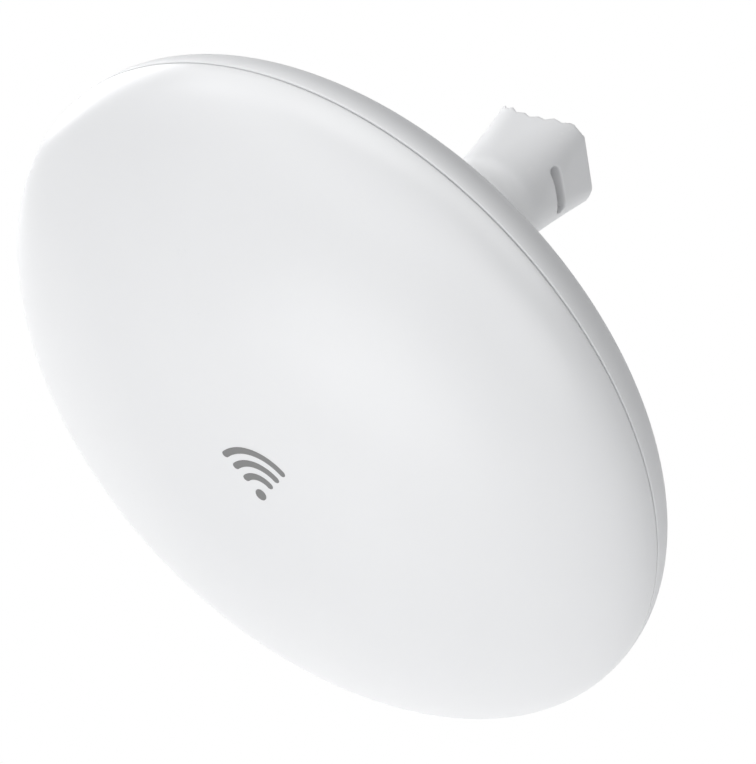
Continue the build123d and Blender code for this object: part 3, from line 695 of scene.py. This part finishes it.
cuts = {
    "ledge": (92.0, 3.0, 87.0),        # recess radius, depth, and the ledge's inner radius
    "lining": ((87.0, 9.5), (84.5, 12.4), (80.0, 13.9), (76.5, 15.2)),
    "liningBowl": ((63.5, 20.2), (44.0, 25.1), (0.0, 25.1)),
    "cavity": (33.6, -40.1, 32.6, 21.6, 14.0, 36.6),        # half width, bottom, top, corner, depths
    "bayTop": -42.5,
    "bayFloor": 26.4,
    "bayHalf": 23.0,
    "groove": (24.6, 35.9, 37.5),        # half width, and from one depth to the other
    "window": (8.0, 23.1, 36.5),        # half width and depths
    "button": (14.0, 29.6, 2.1),        # x, depth, radius
    "mouthEdge": 0.25,
    "socketHole": 15.0,
    "lights": (27.0, -13.0, 4.0, 6, 1.12),        # x, first z, pitch, count, radius
    "socketScrews": (24.8, 1.4, 30.0, 2.8),        # circle, hole radius, boss depth, boss radius
    "boardScrews": (1.25, 26.1, 2.5),        # hole radius, boss depth, boss radius
}
farDown = -90.0        # below everything, for cuts that run out of the bottom
screwSpots = arc(cuts["socketScrews"][0], 45, 315, 3)
boardSpots = [(x, z) for x in (-24.5, 24.5) for z in (-37.0, 7.0)]


def disc(radius, spot, sides=24):        # an outline with this many corners
    return arc(radius, 0, 360 - 360 / sides, sides - 1, spot)


def buildShell(shell, cuts):
    piece = asObject("rearShell", shellSkin(shell))
    back, top = housingDepth + 3, cuts["bayTop"]
    recess, ledgeDepth, ledgeInner = cuts["ledge"]
    lining = [(0, -3), (recess, -3)]
    lining += softened([(recess, -3), (recess, ledgeDepth, 0.3), (ledgeInner, ledgeDepth, 0.4),
                        cuts["lining"][0]])[1:]
    lining += bezier(*cuts["lining"], 8) + bezier(cuts["lining"][-1], *cuts["liningBowl"], 24)
    carve(piece, lathe([(reach * mm, -depth * mm) for reach, depth in lining], seamY, dishZ, shell["count"]))

    half, bottom, high, corner, near, depth = cuts["cavity"]
    carve(piece, slab(softened([(-half, bottom, 1.0), (half, bottom, 1.0), (half, high, corner),
                                (-half, high, corner)], 14), near, depth))
    wide, near, far = cuts["groove"]
    bay = cuts["bayHalf"]
    plan = [(bay, cuts["bayFloor"], 1.0), (bay, near), (wide, near), (wide, far), (bay, far), (bay, back)]
    plan += [(-corner[0], *corner[1:]) for corner in plan[::-1]]
    carve(piece, prism(behindSeam(softened(plan)), "z", farDown * mm, top * mm))
    half, near, far = cuts["window"]
    carve(piece, slab([(-half, top - 1), (half, top - 1), (half, bottom + 1), (-half, bottom + 1)], near, far))

    screwRadius, bossDepth, bossRadius = cuts["socketScrews"][1:]
    boardRadius, boardDepth, boardBoss = cuts["boardScrews"]
    bosses, holes = bmesh.new(), bmesh.new()
    for spot in screwSpots:
        slab(disc(bossRadius, spot, 32), bossDepth, depth + 0.4, bosses)
        slab(disc(screwRadius, spot), bossDepth - 1, back, holes)
    for spot in boardSpots:
        slab(disc(boardBoss, spot, 32), boardDepth, depth + 0.4, bosses)
        slab(disc(boardRadius, spot), boardDepth - 1, depth - 0.4, holes)
    carve(piece, bosses, "UNION")
    slab(disc(cuts["socketHole"], (0, 0), 96), 33, back, holes)
    x, z, pitch, count, radius = cuts["lights"]
    for k in range(count):
        slab(disc(radius, (x, z - pitch * k)), 34, back, holes)
    x, depth, radius = cuts["button"]
    prism(behindSeam(disc(radius, (x, depth))), "z", (top - 1) * mm, (bottom + 1) * mm, holes)
    carve(piece, holes)

    def atBay(point):        # the bay's mouth, on the outside of the housing and above its round bottom
        x, depth, z = abs(point.x / mm), (point.y - seamY) / mm, point.z / mm
        return depth > housingDepth - 0.01 and -65 <= z < top + 0.05 and x < bay + 0.05

    breakEdges(piece, atBay, cuts["mouthEdge"] * mm)
    return finishPiece(piece, "shellPlastic", "antenna", ["rear_shell"], sharp=32)


buildShell(shell, cuts)
print("rear shell made")


# port cover: cut from the housing's own block, so that it lies flush

cover = {
    "gap": 0.3,
    "blockFront": 14.0,
    "front": 27.2,
    "plate": 36.2,
    "skin": 2.4,
    "lipThickness": 1.0,
    "corner": 6.0,
    "notch": (3.4, 4.0),        # radius, and its middle behind the cover's front edge
    "edge": 0.25,
}


def buildCover(cover, shell, cuts):
    piece = asObject("portCover", stitch(housingRings(shell, cover["blockFront"]), capped=True))
    half, wide = cuts["bayHalf"] - cover["gap"], cuts["groove"][0] - cover["gap"]
    front, plate, back = cover["front"], cover["plate"], housingDepth + 3
    lip = plate + cover["lipThickness"]
    plan = [(half, front), (half, plate), (wide, plate), (wide, lip), (half, lip), (half, back)]
    plan += [(-x, depth) for x, depth in plan[::-1]]
    top = (cuts["bayTop"] - cover["gap"]) * mm
    carve(piece, prism(behindSeam(plan), "z", farDown * mm, top), "INTERSECT")
    inner, low, corner = half - cover["skin"], shell["housingBottom"] + cover["skin"], cover["corner"]
    hollow = softened([(-inner, low, corner), (inner, low, corner), (inner, 0), (-inner, 0)], 8)
    carve(piece, slab(hollow, cover["blockFront"], plate))
    radius, middle = cover["notch"]
    mouth = [(-radius, front - 5), (radius, front - 5)] + arc(radius, 0, 180, 16, (0, front + middle))
    carve(piece, prism(behindSeam(mouth), "z", (shell["housingBottom"] - 6) * mm, (low + 1) * mm))
    breakEdges(piece, lambda point: True, cover["edge"] * mm, sharp=50)
    return finishPiece(piece, "shellPlastic", "port_cover", ["port_cover"], sharp=32)


buildCover(cover, shell, cuts)
print("port cover made")


# geometry nodes

def newNodes(name, sizes):        # a tree with named inputs, returned with the inputs as wires
    tree = bpy.data.node_groups.new(name, "GeometryNodeTree")
    tree.interface.new_socket("Geometry", in_out="INPUT", socket_type="NodeSocketGeometry")
    tree.interface.new_socket("Geometry", in_out="OUTPUT", socket_type="NodeSocketGeometry")
    kinds = {float: "NodeSocketFloat", int: "NodeSocketInt"}
    for label, value in sizes.items():
        tree.interface.new_socket(label, in_out="INPUT", socket_type=kinds[type(value)])
    bench = Bench(tree)
    return bench, bench.make("NodeGroupInput")


def closeNodes(bench, geometry, material):
    geometry = bench.make("GeometryNodeRealizeInstances", None, {0: geometry})
    geometry = bench.make("GeometryNodeSetMaterial", None,
                          {"Geometry": geometry, "Material": finishes[material]})
    bench.make("NodeGroupOutput", None, {0: geometry})
    return bench.tree


def runNodes(piece, tree, sizes):        # the tree's inputs are set by identifier, and its result is kept
    modifier = piece.modifiers.new(tree.name, "NODES")
    modifier.node_group = tree
    for item in tree.interface.items_tree:
        if item.in_out == "INPUT" and item.name in sizes:
            modifier[item.identifier] = sizes[item.name]
    bakeModifiers(piece)
    return piece


def pointsObject(name, places):        # a piece that is only points, for a tree to build on
    mesh = bpy.data.meshes.new(name)
    mesh.from_pydata(places, [], [])
    return linked(name, mesh)


def moved(bench, geometry, by=None, turned=None):
    places = {"Translation": by, "Rotation": turned}
    places = {name: value for name, value in places.items() if value is not None}
    return bench.make("GeometryNodeTransform", None, {"Geometry": geometry, **places})


def position(bench):        # a point's x, y and z
    x = bench.make("ShaderNodeSeparateXYZ", None, {0: bench.make("GeometryNodeInputPosition")})
    return x, x.other("Y"), x.other("Z")


def onPoints(bench, points, instance, rotation=(0, 0, 0)):
    return bench.make("GeometryNodeInstanceOnPoints", None,
                      {"Points": points, "Instance": instance, "Rotation": rotation})


screwLook = {
    "headSides": 48,
    "shankSides": 24,
    "crown": (3.0, 0.42),        # how the head falls towards its rim: power and share of its height
    "seed": 7,
}


def screwTree(sizes, material):        # pan heads with a drive cross on every point, facing +Y
    bench, given = newNodes("screwTree", sizes)
    headRadius, headHeight = given.other("Head radius"), given.other("Head height")
    head = bench.make("GeometryNodeMeshCylinder", None,
                      {"Vertices": screwLook["headSides"], "Side Segments": 4, "Fill Segments": 8,
                       "Radius": headRadius, "Depth": headHeight})
    x, y, z = position(bench)
    reach = ((x * x + y * y)**0.5) / headRadius
    power, share = screwLook["crown"]
    sink = reach**power * headHeight * share * bench.between(z / headHeight + 0.5, 0.0, 1.0)
    drop = bench.vector(z=sink * -1 + headHeight * 0.5)
    head = bench.make("GeometryNodeSetPosition", None, {"Geometry": head, "Offset": drop})
    long, wide, deep = (given.other("Cross " + side) for side in ("length", "width", "depth"))
    for a, b in ((long, wide), (wide, long)):
        bar = bench.make("GeometryNodeMeshCube", None, {"Size": bench.vector(a, b, deep * 2)})
        head = bench.make("GeometryNodeMeshBoolean", {"operation": "DIFFERENCE", "solver": "EXACT"},
                          {"Mesh 1": head, "Mesh 2": moved(bench, bar, bench.vector(z=headHeight))})
    length = given.other("Shank length")
    shank = bench.make("GeometryNodeMeshCylinder", None,
                       {"Vertices": screwLook["shankSides"], "Radius": given.other("Shank radius"),
                        "Depth": length})
    shank = moved(bench, shank, bench.vector(z=length * -0.5))
    screw = bench.make("GeometryNodeJoinGeometry")
    for part in (head, shank):
        bench.tree.links.new(part.socket, screw.socket.node.inputs[0])
    turn = bench.make("FunctionNodeRandomValue", {"data_type": "FLOAT"},
                      {2: 0.0, 3: 6.28, 8: screwLook["seed"]}, 1)
    placed = onPoints(bench, given, moved(bench, screw, None, (-pi / 2, 0, 0)), bench.vector(y=turn))
    return closeNodes(bench, placed, material)


socketScrews = {
    "Head radius": 2.6 * mm,
    "Head height": 1.7 * mm,
    "Cross length": 3.2 * mm,
    "Cross width": 0.7 * mm,
    "Cross depth": 1.0 * mm,
    "Shank radius": 1.35 * mm,
    "Shank length": 9.0 * mm,
}
boardScrews = {
    "Head radius": 2.3 * mm,
    "Head height": 1.4 * mm,
    "Cross length": 2.8 * mm,
    "Cross width": 0.6 * mm,
    "Cross depth": 0.8 * mm,
    "Shank radius": 1.2 * mm,
    "Shank length": 7.0 * mm,
}


def buildScrews(name, node, tree, sizes, places, turned=False):
    piece = runNodes(pointsObject(name, places), tree, sizes)
    if turned:
        piece.data.transform(Quaternion((0, 0, 1), pi).to_matrix().to_4x4())        # these face forward
    finishPiece(piece, "screwSteel", "antenna", [node])


pan = screwTree(socketScrews, "screwSteel")
headFace = edge("socket_screws", 1, 1) - socketScrews["Head height"]
boardFace = edge("board_screws", 1, 0) + boardScrews["Head height"]
buildScrews("socketScrews", "socket_screws", pan, socketScrews,
            [(x * mm, headFace, z * mm) for x, z in screwSpots])
buildScrews("boardScrews", "board_screws", pan, boardScrews,
            [(-x * mm, -boardFace, z * mm) for x, z in boardSpots], turned=True)


def ribTree(sizes, material):        # rounded finger ribs in a row up the housing's back
    bench, given = newNodes("ribTree", sizes)
    length, width, rise = given.other("Rib length"), given.other("Rib width"), given.other("Rib rise")
    rib = bench.make("GeometryNodeMeshUVSphere", None, {"Segments": 24, "Rings": 16, "Radius": width * 0.5})
    x, y, z = position(bench)
    side = (x > 0.0) * (length - width) + (length - width) * -0.5        # the ball's halves move apart
    apart = bench.vector(side, y * (rise * 2.0 / width - 1.0))
    rib = bench.make("GeometryNodeSetPosition", None, {"Geometry": rib, "Offset": apart})
    row = bench.make("GeometryNodeMeshLine", None,
                     {"Count": given.other("Rib count"), "Offset": bench.vector(z=given.other("Rib pitch"))})
    return closeNodes(bench, onPoints(bench, given, onPoints(bench, row, rib)), material)


fingerRibs = {
    "Rib count": 4,
    "Rib length": 18.0 * mm,
    "Rib width": 1.3 * mm,
    "Rib rise": 0.58 * mm,
    "Rib pitch": 2.6 * mm,
}
firstRib = (0, housingBack, -58.0 * mm)
ribs = runNodes(pointsObject("fingerRibs", [firstRib]), ribTree(fingerRibs, "shellPlastic"), fingerRibs)
finishPiece(ribs, "shellPlastic", "port_cover")
print("screws and ribs placed")


# ball joint

socket = {
    "cup": 14.6,
    "dome": 17.0,
    "flange": (28.0, 3.0),
    "collar": (15.9, 18.2, 6.0),        # bore, outside, and how far behind the ball's middle it ends
    "screwSpare": 0.15,
    "segments": 192,
}


def turnedPiece(name, outline, segments):        # about the neck's axis, from the ball's middle, in millimetres
    return asObject(name, lathe(millimetres(outline), ballY, 0, segments))


def buildSocket(socket, cuts):
    seat = (ballY - housingBack) / mm
    cup, dome = socket["cup"], socket["dome"]
    flangeRadius, thickness = socket["flange"]
    bore, outside, end = socket["collar"]
    foot = sqrt(dome**2 - seat**2)
    outline = [(0, cup)] + arc(cup, 88, 1, 24)
    outline += softened([(cup, 0), (bore, 0, 0.2), (bore, -end, 0.3), (outside, -end, 0.5),
                         (outside, seat - thickness, 1.2), (flangeRadius, seat - thickness, 1.1),
                         (flangeRadius, seat, 0.2), (foot, seat)])
    outline += arc(dome, degrees(acos(foot / dome)) + 2, 88, 16) + [(0, dome)]
    piece = turnedPiece("ballSocket", outline, socket["segments"])
    holes = bmesh.new()
    for spot in screwSpots:
        hole = disc(cuts["socketScrews"][1] + socket["screwSpare"], spot)
        prism(millimetres(hole), "y", ballY - 12 * mm, ballY, holes)
    carve(piece, holes)
    return finishPiece(piece, "jointPlastic", "antenna", ["ball_socket"])


buildSocket(socket, cuts)


def threadTree(sizes, material):        # a low ridge wound round the collar
    bench, given = newNodes("threadTree", sizes)
    radius = given.other("Thread radius")
    path = bench.make("GeometryNodeCurveSpiral", None,
                      {"Resolution": 72, "Rotations": given.other("Turns"), "Start Radius": radius,
                       "End Radius": radius, "Height": given.other("Thread length")})
    section = bench.make("GeometryNodeCurvePrimitiveCircle", {"mode": "RADIUS"},
                         {"Resolution": 10, "Radius": given.other("Ridge radius")})
    ridge = bench.make("GeometryNodeCurveToMesh", None,
                       {"Curve": path, "Profile Curve": section, "Fill Caps": True})
    return closeNodes(bench, onPoints(bench, given, moved(bench, ridge, None, (pi / 2, 0, 0))), material)


collarThread = {
    "Turns": 4.5,
    "Thread radius": 18.05 * mm,
    "Thread length": 9.0 * mm,
    "Ridge radius": 0.36 * mm,
}
thread = pointsObject("collarThread", [(0, ballY + 5.2 * mm, 0)])
runNodes(thread, threadTree(collarThread, "jointPlastic"), collarThread)
finishPiece(thread, "jointPlastic", "antenna")


# what holds the ball: seat in front, clamp ring behind, and the washer under the nut

ballFit = {
    "ball": 13.0,
    "running": 0.05,
    "seatThickness": 1.5,
    "seatAngle": 65.0,        # how far round the ball's front the seat reaches
    "seatHole": 8.0,
    "ringAngle": 60.0,        # the clamp ring's mouth, from the ball's back
    "ringFront": 0.6,
    "ringOutside": 15.7,
    "ringRound": 0.4,
    "washer": (13.4, 17.8, 6.7, 7.5),        # bore, outside, and from where to where behind the ball's middle
    "washerRound": 0.2,
    "segments": 160,
}


def buildBallFit(fit):
    inner = fit["ball"] + fit["running"]
    outer = inner + fit["seatThickness"]
    hole, reach = 90 - fit["seatHole"], 90 - fit["seatAngle"]
    mouth, front, outside, soft = fit["ringAngle"] - 90, -fit["ringFront"], fit["ringOutside"], fit["ringRound"]
    back = inner * sin(radians(mouth))
    ring = arc(inner, mouth, degrees(asin(front / inner)), 20)
    ring += softened([(inner, front), (outside, front, soft), (outside, back, soft),
                      (inner * cos(radians(mouth)), back)])[1:-1]
    bore, rim, near, far = fit["washer"]
    washer = softened([(x, -behind, fit["washerRound"])
                       for x, behind in ((bore, near), (rim, near), (rim, far), (bore, far))])
    seat = arc(inner, hole, reach, 20) + arc(outer, reach, hole, 20)
    for name, outline, body, node in (("ballSeat", seat, "pan_seat", "ball_seat"),
                                      ("clampRing", ring, "tilt_ring", "clamp_ring"),
                                      ("thrustWasher", washer, "nut_washer", "thrust_washer")):
        piece = turnedPiece(name, outline, fit["segments"])
        finishPiece(piece, "seatPlastic", body, [node])


buildBallFit(ballFit)


# lock nut: a turned blank, whose outside is then pushed out into finger grips

nut = {
    "bore": 18.5,
    "outside": 20.5,
    "opening": 14.5,
    "front": -4.0,        # from the ball's middle towards the back
    "lip": 7.6,
    "back": 10.5,
    "backRound": 1.5,
    "sideSteps": 16,
    "segments": 432,
}
nutGrips = {
    "Grip count": 18,
    "Grip height": 1.55 * mm,
    "Nut radius": nut["outside"] * mm,
    "Nut back": (nut["back"] - 0.4) * mm,
    "Fade": 2.4 * mm,
}
gripShape = {
    "roundness": 0.75,
    "skin": (0.93, 0.995),        # shares of the nut's radius between which a point is pushed out
    "fadeBend": 0.6,
}


def gripTree(sizes, material):
    bench, given = newNodes("gripTree", sizes)
    x, y, z = position(bench)
    reach = (x * x + z * z)**0.5
    turn = z.reckon("ARCTAN2", z, x) * given.other("Grip count")
    wave = (turn.reckon("COSINE", turn) * 0.5 + 0.5)**gripShape["roundness"]
    outer = bench.between(reach / given.other("Nut radius"), *gripShape["skin"])
    fade = bench.between((given.other("Nut back") - (y - ballY)) / given.other("Fade"), 0.0, 1.0)
    push = wave * outer * fade**gripShape["fadeBend"] * given.other("Grip height") / reach
    shaped = bench.make("GeometryNodeSetPosition", None,
                        {"Geometry": given, "Offset": bench.vector(x * push, z=z * push)})
    return closeNodes(bench, shaped, material)


def buildNut(nut, nutGrips):
    bore, outside, opening = nut["bore"], nut["outside"], nut["opening"]
    front, lip, back, steps = -nut["front"], -nut["lip"], -nut["back"], nut["sideSteps"]
    side = [(outside, front - 0.6 - (front - back - 2.2) * k / steps) for k in range(steps + 1)]
    outline = softened([(bore, lip), (bore, front, 0.3), (outside, front, 0.5), side[0]])[1:-1] + side
    outline += softened([side[-1], (outside, back, nut["backRound"]), (opening, back, 1.0), (opening, lip, 0.2),
                         (bore, lip, 0.4)], 6)[1:]
    piece = turnedPiece("lockNut", outline, nut["segments"])
    runNodes(piece, gripTree(nutGrips, "jointPlastic"), nutGrips)
    return finishPiece(piece, "jointPlastic", "lock_nut", ["lock_nut"], sharp=45)


buildNut(nut, nutGrips)
print("ball joint made")


# pole mount: ball, waist, neck and jaw in one moulding, with a toothed saddle and a strap slot

mount = {
    "ball": 13.0,
    "waist": (7.5, 16.0, 4.0),        # radius, how far behind the ball's middle it ends, and its lean
    "neck": (13.2, 0.3, 5.5),
    "neckRound": 19.0,        # ahead of the saddle, where the neck is still round
    "growth": 1.3,        # how slowly the round neck turns into the jaw
    "jaw": (13.3, 14.1, 7.0),        # half width, half height, corner
    "hornRound": 2.4,        # how the jaw's tips round inwards
    "jawSteps": (24, 10),        # along the jaw, and round its tips
    "saddleRadius": 20.0,
    "teeth": (7, 0.9, 0.35),        # count, depth, rounding
    "slot": (9.5, 13.8, 3.2),        # ahead of the saddle, height, width
    "pockets": (1.4, 7.5, 8.0, 5.5),        # half the rib between, reach, half height, depth
    "past": 30.0,        # how far the cutting shapes reach past the jaw
    "voxel": 0.32,
    "easing": (0.5, 5),        # factor and rounds
    "count": 160,
}


def turnedRings(mount):        # the ball, the waist behind it and the round neck, as loops
    ball, behind = mount["ball"], ballY / mm
    waist, waistEnd, waistLean = mount["waist"]
    neck, neckInset, neckLean = mount["neck"]
    length = -behind - mount["neckRound"]
    profile = arc(ball, 88, -degrees(acos(waist / ball)), 44)
    profile += [(waist, -waistEnd + k) for k in (3, 1.5, 0)]
    profile += bezier((waist, -waistEnd), (waist, -waistEnd - waistLean), (neck - neckInset, neckLean - length),
                      (neck, -length), 24)
    rings = [[(0, ballY - ball * mm, 0)]]
    for radius, ahead in profile:
        loop = boxLoop(radius, radius, radius, mount["count"])
        rings.append([(x * mm, ballY - ahead * mm, z * mm) for x, z in loop])
    return rings


def jawRings(mount):        # from the round neck to the jaw's tips, which round inwards
    neck, start, horn = mount["neck"][0], mount["neckRound"], mount["hornRound"]
    halfWidth, halfHeight, corner = mount["jaw"]
    saddle = mount["saddleRadius"]
    tip = saddle - sqrt(saddle**2 - halfWidth**2)        # how far the corners reach past the saddle's middle
    steps, tipSteps = mount["jawSteps"]
    stages = [(k / steps * (tip - horn + start), 0) for k in range(1, steps + 1)]
    stages += [(tip - horn + start + horn * sin(t), horn * (1 - cos(t)))
               for t in (pi / 2 * k / tipSteps for k in range(1, tipSteps))]
    rings = []
    for along, inset in stages:
        grown = (along / (tip + start))**mount["growth"]
        sizes = [neck + (size - neck) * grown - inset for size in (halfWidth, halfHeight, corner)]
        rings.append([(x * mm, (along - start) * mm, z * mm) for x, z in boxLoop(*sizes, mount["count"])])
    return rings


def saddleOutline(mount):        # the toothed hollow that meets the pole
    saddle, past = mount["saddleRadius"], mount["past"]
    count, depth, toothRound = mount["teeth"]
    spread = degrees(asin(mount["jaw"][0] / saddle)) + 1
    outline = []
    for k in range(2 * count + 1):
        turn = radians(spread * (k / count - 1))
        reach = saddle + depth * (k % 2)
        outline.append((reach * sin(turn), saddle - reach * cos(turn), toothRound))
    return softened(outline + [(past, saddle), (-past, saddle)])


def buildMount(mount):
    piece = asObject("poleMount", stitch(turnedRings(mount) + jawRings(mount), capped=True))
    past = mount["past"] * mm
    carve(piece, prism(millimetres(saddleOutline(mount)), "z", -past, past))
    rib, reach, half, depth = mount["pockets"]
    pockets = bmesh.new()
    for side in (-1, 1):
        corners = ((rib, -half), (reach, -half), (reach, half), (rib, half))
        pocket = softened([(side * x, z, 1.0) for x, z in corners])
        prism(millimetres(pocket), "y", -depth * mm, 10 * mm, pockets)
    carve(piece, pockets)
    ahead, tall, wide = mount["slot"]
    slot = [point for start, middle in ((0, tall / 2 - wide / 2), (180, wide / 2 - tall / 2))
            for point in arc(wide / 2, start, start + 180, 10, (-ahead, middle))]
    carve(piece, prism(millimetres(slot), "x", -past, past))
    skin = piece.modifiers.new("skin", "REMESH")
    skin.mode = "VOXEL"
    skin.voxel_size = mount["voxel"] * mm
    ease = piece.modifiers.new("ease", "SMOOTH")
    ease.factor, ease.iterations = mount["easing"]
    bakeModifiers(piece)
    return finishPiece(piece, "mountPlastic", "pole_mount", ["pole_mount"], sharp=60)


buildMount(mount)
print("pole mount made")


# finishes of the pieces kept from the frame

keptFinishes = {
    "rim_seal": "sealRubber",
    "rating_label": "labelFilm",
    "reflector": "spunAluminium",
    "subreflector": "spunAluminium",
    "feed_tube": "feedMetal",
    "feed_cone": "feedPlastic",
    "main_board": "circuitBoard",
    "network_jack": "jackMetal",
    "jack_contacts": "contactGold",
    "radio_shield": "jackMetal",
    "radio_chips": "chipBlack",
    "network_transformer": "chipBlack",
    "reset_switch": "jackMetal",
    "light_chips": "feedPlastic",
    "light_pipes": "clearPlastic",
    "reset_button": "buttonGrey",
}
for name, finish in keptFinishes.items():
    nodes[name].data.materials.clear()
    nodes[name].data.materials.append(finishes[finish])
print("kept pieces finished")


# camera

cameraView = {
    "aim": (0.0, seamY, dishZ),        # the middle of the dish at its seam
    "azimuth": 43.6,
    "elevation": 36.8,
    "roll": 11.5,
    "distance": 850.5 * mm,
    "aside": (-11.85 * mm, 4.25 * mm),        # how far the aim lies right of and below the view's middle
    "focal": 165.3,
    "sensor": 36,
    "clip": (0.05, 30),
}


def addCamera(view):
    azimuth, elevation = radians(view["azimuth"]), radians(view["elevation"])
    back = Vector((sin(azimuth) * cos(elevation), -cos(azimuth) * cos(elevation), sin(elevation)))
    turn = Quaternion(back, radians(-view["roll"])) @ (-back).to_track_quat("-Z", "Y")
    right, up = turn @ Vector((1, 0, 0)), turn @ Vector((0, 1, 0))
    data = bpy.data.cameras.new("viewCamera")
    data.lens = view["focal"]
    data.sensor_width = view["sensor"]
    data.clip_start, data.clip_end = view["clip"]
    across, down = view["aside"]
    camera = linked("viewCamera", data)
    camera.rotation_mode = "QUATERNION"
    camera.rotation_quaternion = turn
    camera.location = Vector(view["aim"]) + back * view["distance"] - right * across + up * down
    bpy.context.scene.camera = camera


addCamera(cameraView)
print("camera placed")


# light and floor

studio = {
    "airStrength": 0.17,
    "airColour": (0.955, 0.975, 1.0, 1),
    "floor": (12.0, -0.6),        # size and height
    "floorPaint": {"Base Color": grey(0.93), "Roughness": 0.9, "Emission Strength": 0.35},
    "backdropRadius": 7.0,
    "backdropPaint": {"Base Color": grey(0), "Specular IOR Level": 0, "Emission Strength": 1.0},
    "ceiling": ((-2.0, -0.83, 1.5), (3.2, 0.2, 1.5), (2.9, 1.75, 1.5), (-2.3, 0.75, 1.5)),
    "ceilingPaint": {"Base Color": grey(0), "Specular IOR Level": 0, "Emission Strength": 2.6},
    "lamps": {        # place, aim, size, power
        "keySoftbox": ((0.0, -1.0, 1.2), (0, -0.1, 0), 2.2, 12.8),
        "overheadSoftbox": ((-0.1, -0.1, 1.7), (0, -0.1, 0), 1.2, 6.2),
        "leftSoftbox": ((-1.2, -0.6, 1.1), (0, -0.1, 0), 1.2, 3.3),
        "sideSoftbox": ((-1.6, 0.5, 0.15), (0, -0.1, 0), 1.0, 9.5),
        "backSoftbox": ((-1.2, 0.9, 1.0), (0, -0.1, 0), 1.2, 3.6),
        "rightSoftbox": ((1.2, -1.3, 0.4), (0, -0.1, 0), 1.2, 5.4),
        "lowSoftbox": ((-0.3, -1.3, -0.45), (0, -0.1, 0), 0.8, 3.2),
    },
}


def addStage(name, bm, paint, seen):        # a part of the stage, seen by these kinds of ray
    mesh = meshFrom(name, bm)
    material, bench = newFinish(name + "Paint")
    closeFinish(bench, {"Emission Color": (1, 1, 1, 1), **paint})
    mesh.materials.append(material)
    piece = linked(name, mesh)
    for ray in ("camera", "diffuse", "glossy", "transmission", "volume_scatter", "shadow"):
        setattr(piece, "visible_" + ray, ray in seen)


def sheet(corners):
    bm = bmesh.new()
    bm.faces.new([bm.verts.new(corner) for corner in corners])
    return bm


def addStudio(studio):
    world = bpy.data.worlds.new("studioAir")
    world.use_nodes = True
    background = world.node_tree.nodes["Background"]
    background.inputs["Color"].default_value = studio["airColour"]
    background.inputs["Strength"].default_value = studio["airStrength"]
    bpy.context.scene.world = world
    half, z = studio["floor"][0] / 2, studio["floor"][1]
    floor = sheet(((-half, -half, z), (half, -half, z), (half, half, z), (-half, half, z)))
    # the floor throws light back up, but a low camera sees past it to the backdrop, which lights nothing
    addStage("floor", floor, studio["floorPaint"],
             ("diffuse", "glossy", "transmission", "volume_scatter", "shadow"))
    dome = bmesh.new()
    bmesh.ops.create_icosphere(dome, subdivisions=4, radius=studio["backdropRadius"])
    addStage("backdrop", dome, studio["backdropPaint"], ("camera",))
    # the ceiling is only mirrored, in the rim's shoulder, as a pale crescent
    addStage("ceilingSheet", sheet(studio["ceiling"]), studio["ceilingPaint"], ("glossy",))
    for name, (place, aim, size, power) in studio["lamps"].items():
        data = bpy.data.lights.new(name, "AREA")
        data.shape = "DISK"
        data.size = size
        data.energy = power
        lamp = linked(name, data)
        lamp.location = place
        lamp.rotation_mode = "QUATERNION"
        lamp.rotation_quaternion = (Vector(aim) - Vector(place)).to_track_quat("-Z", "Y")
    bpy.context.scene.view_settings.view_transform = "Standard"


addStudio(studio)
print("studio lit")
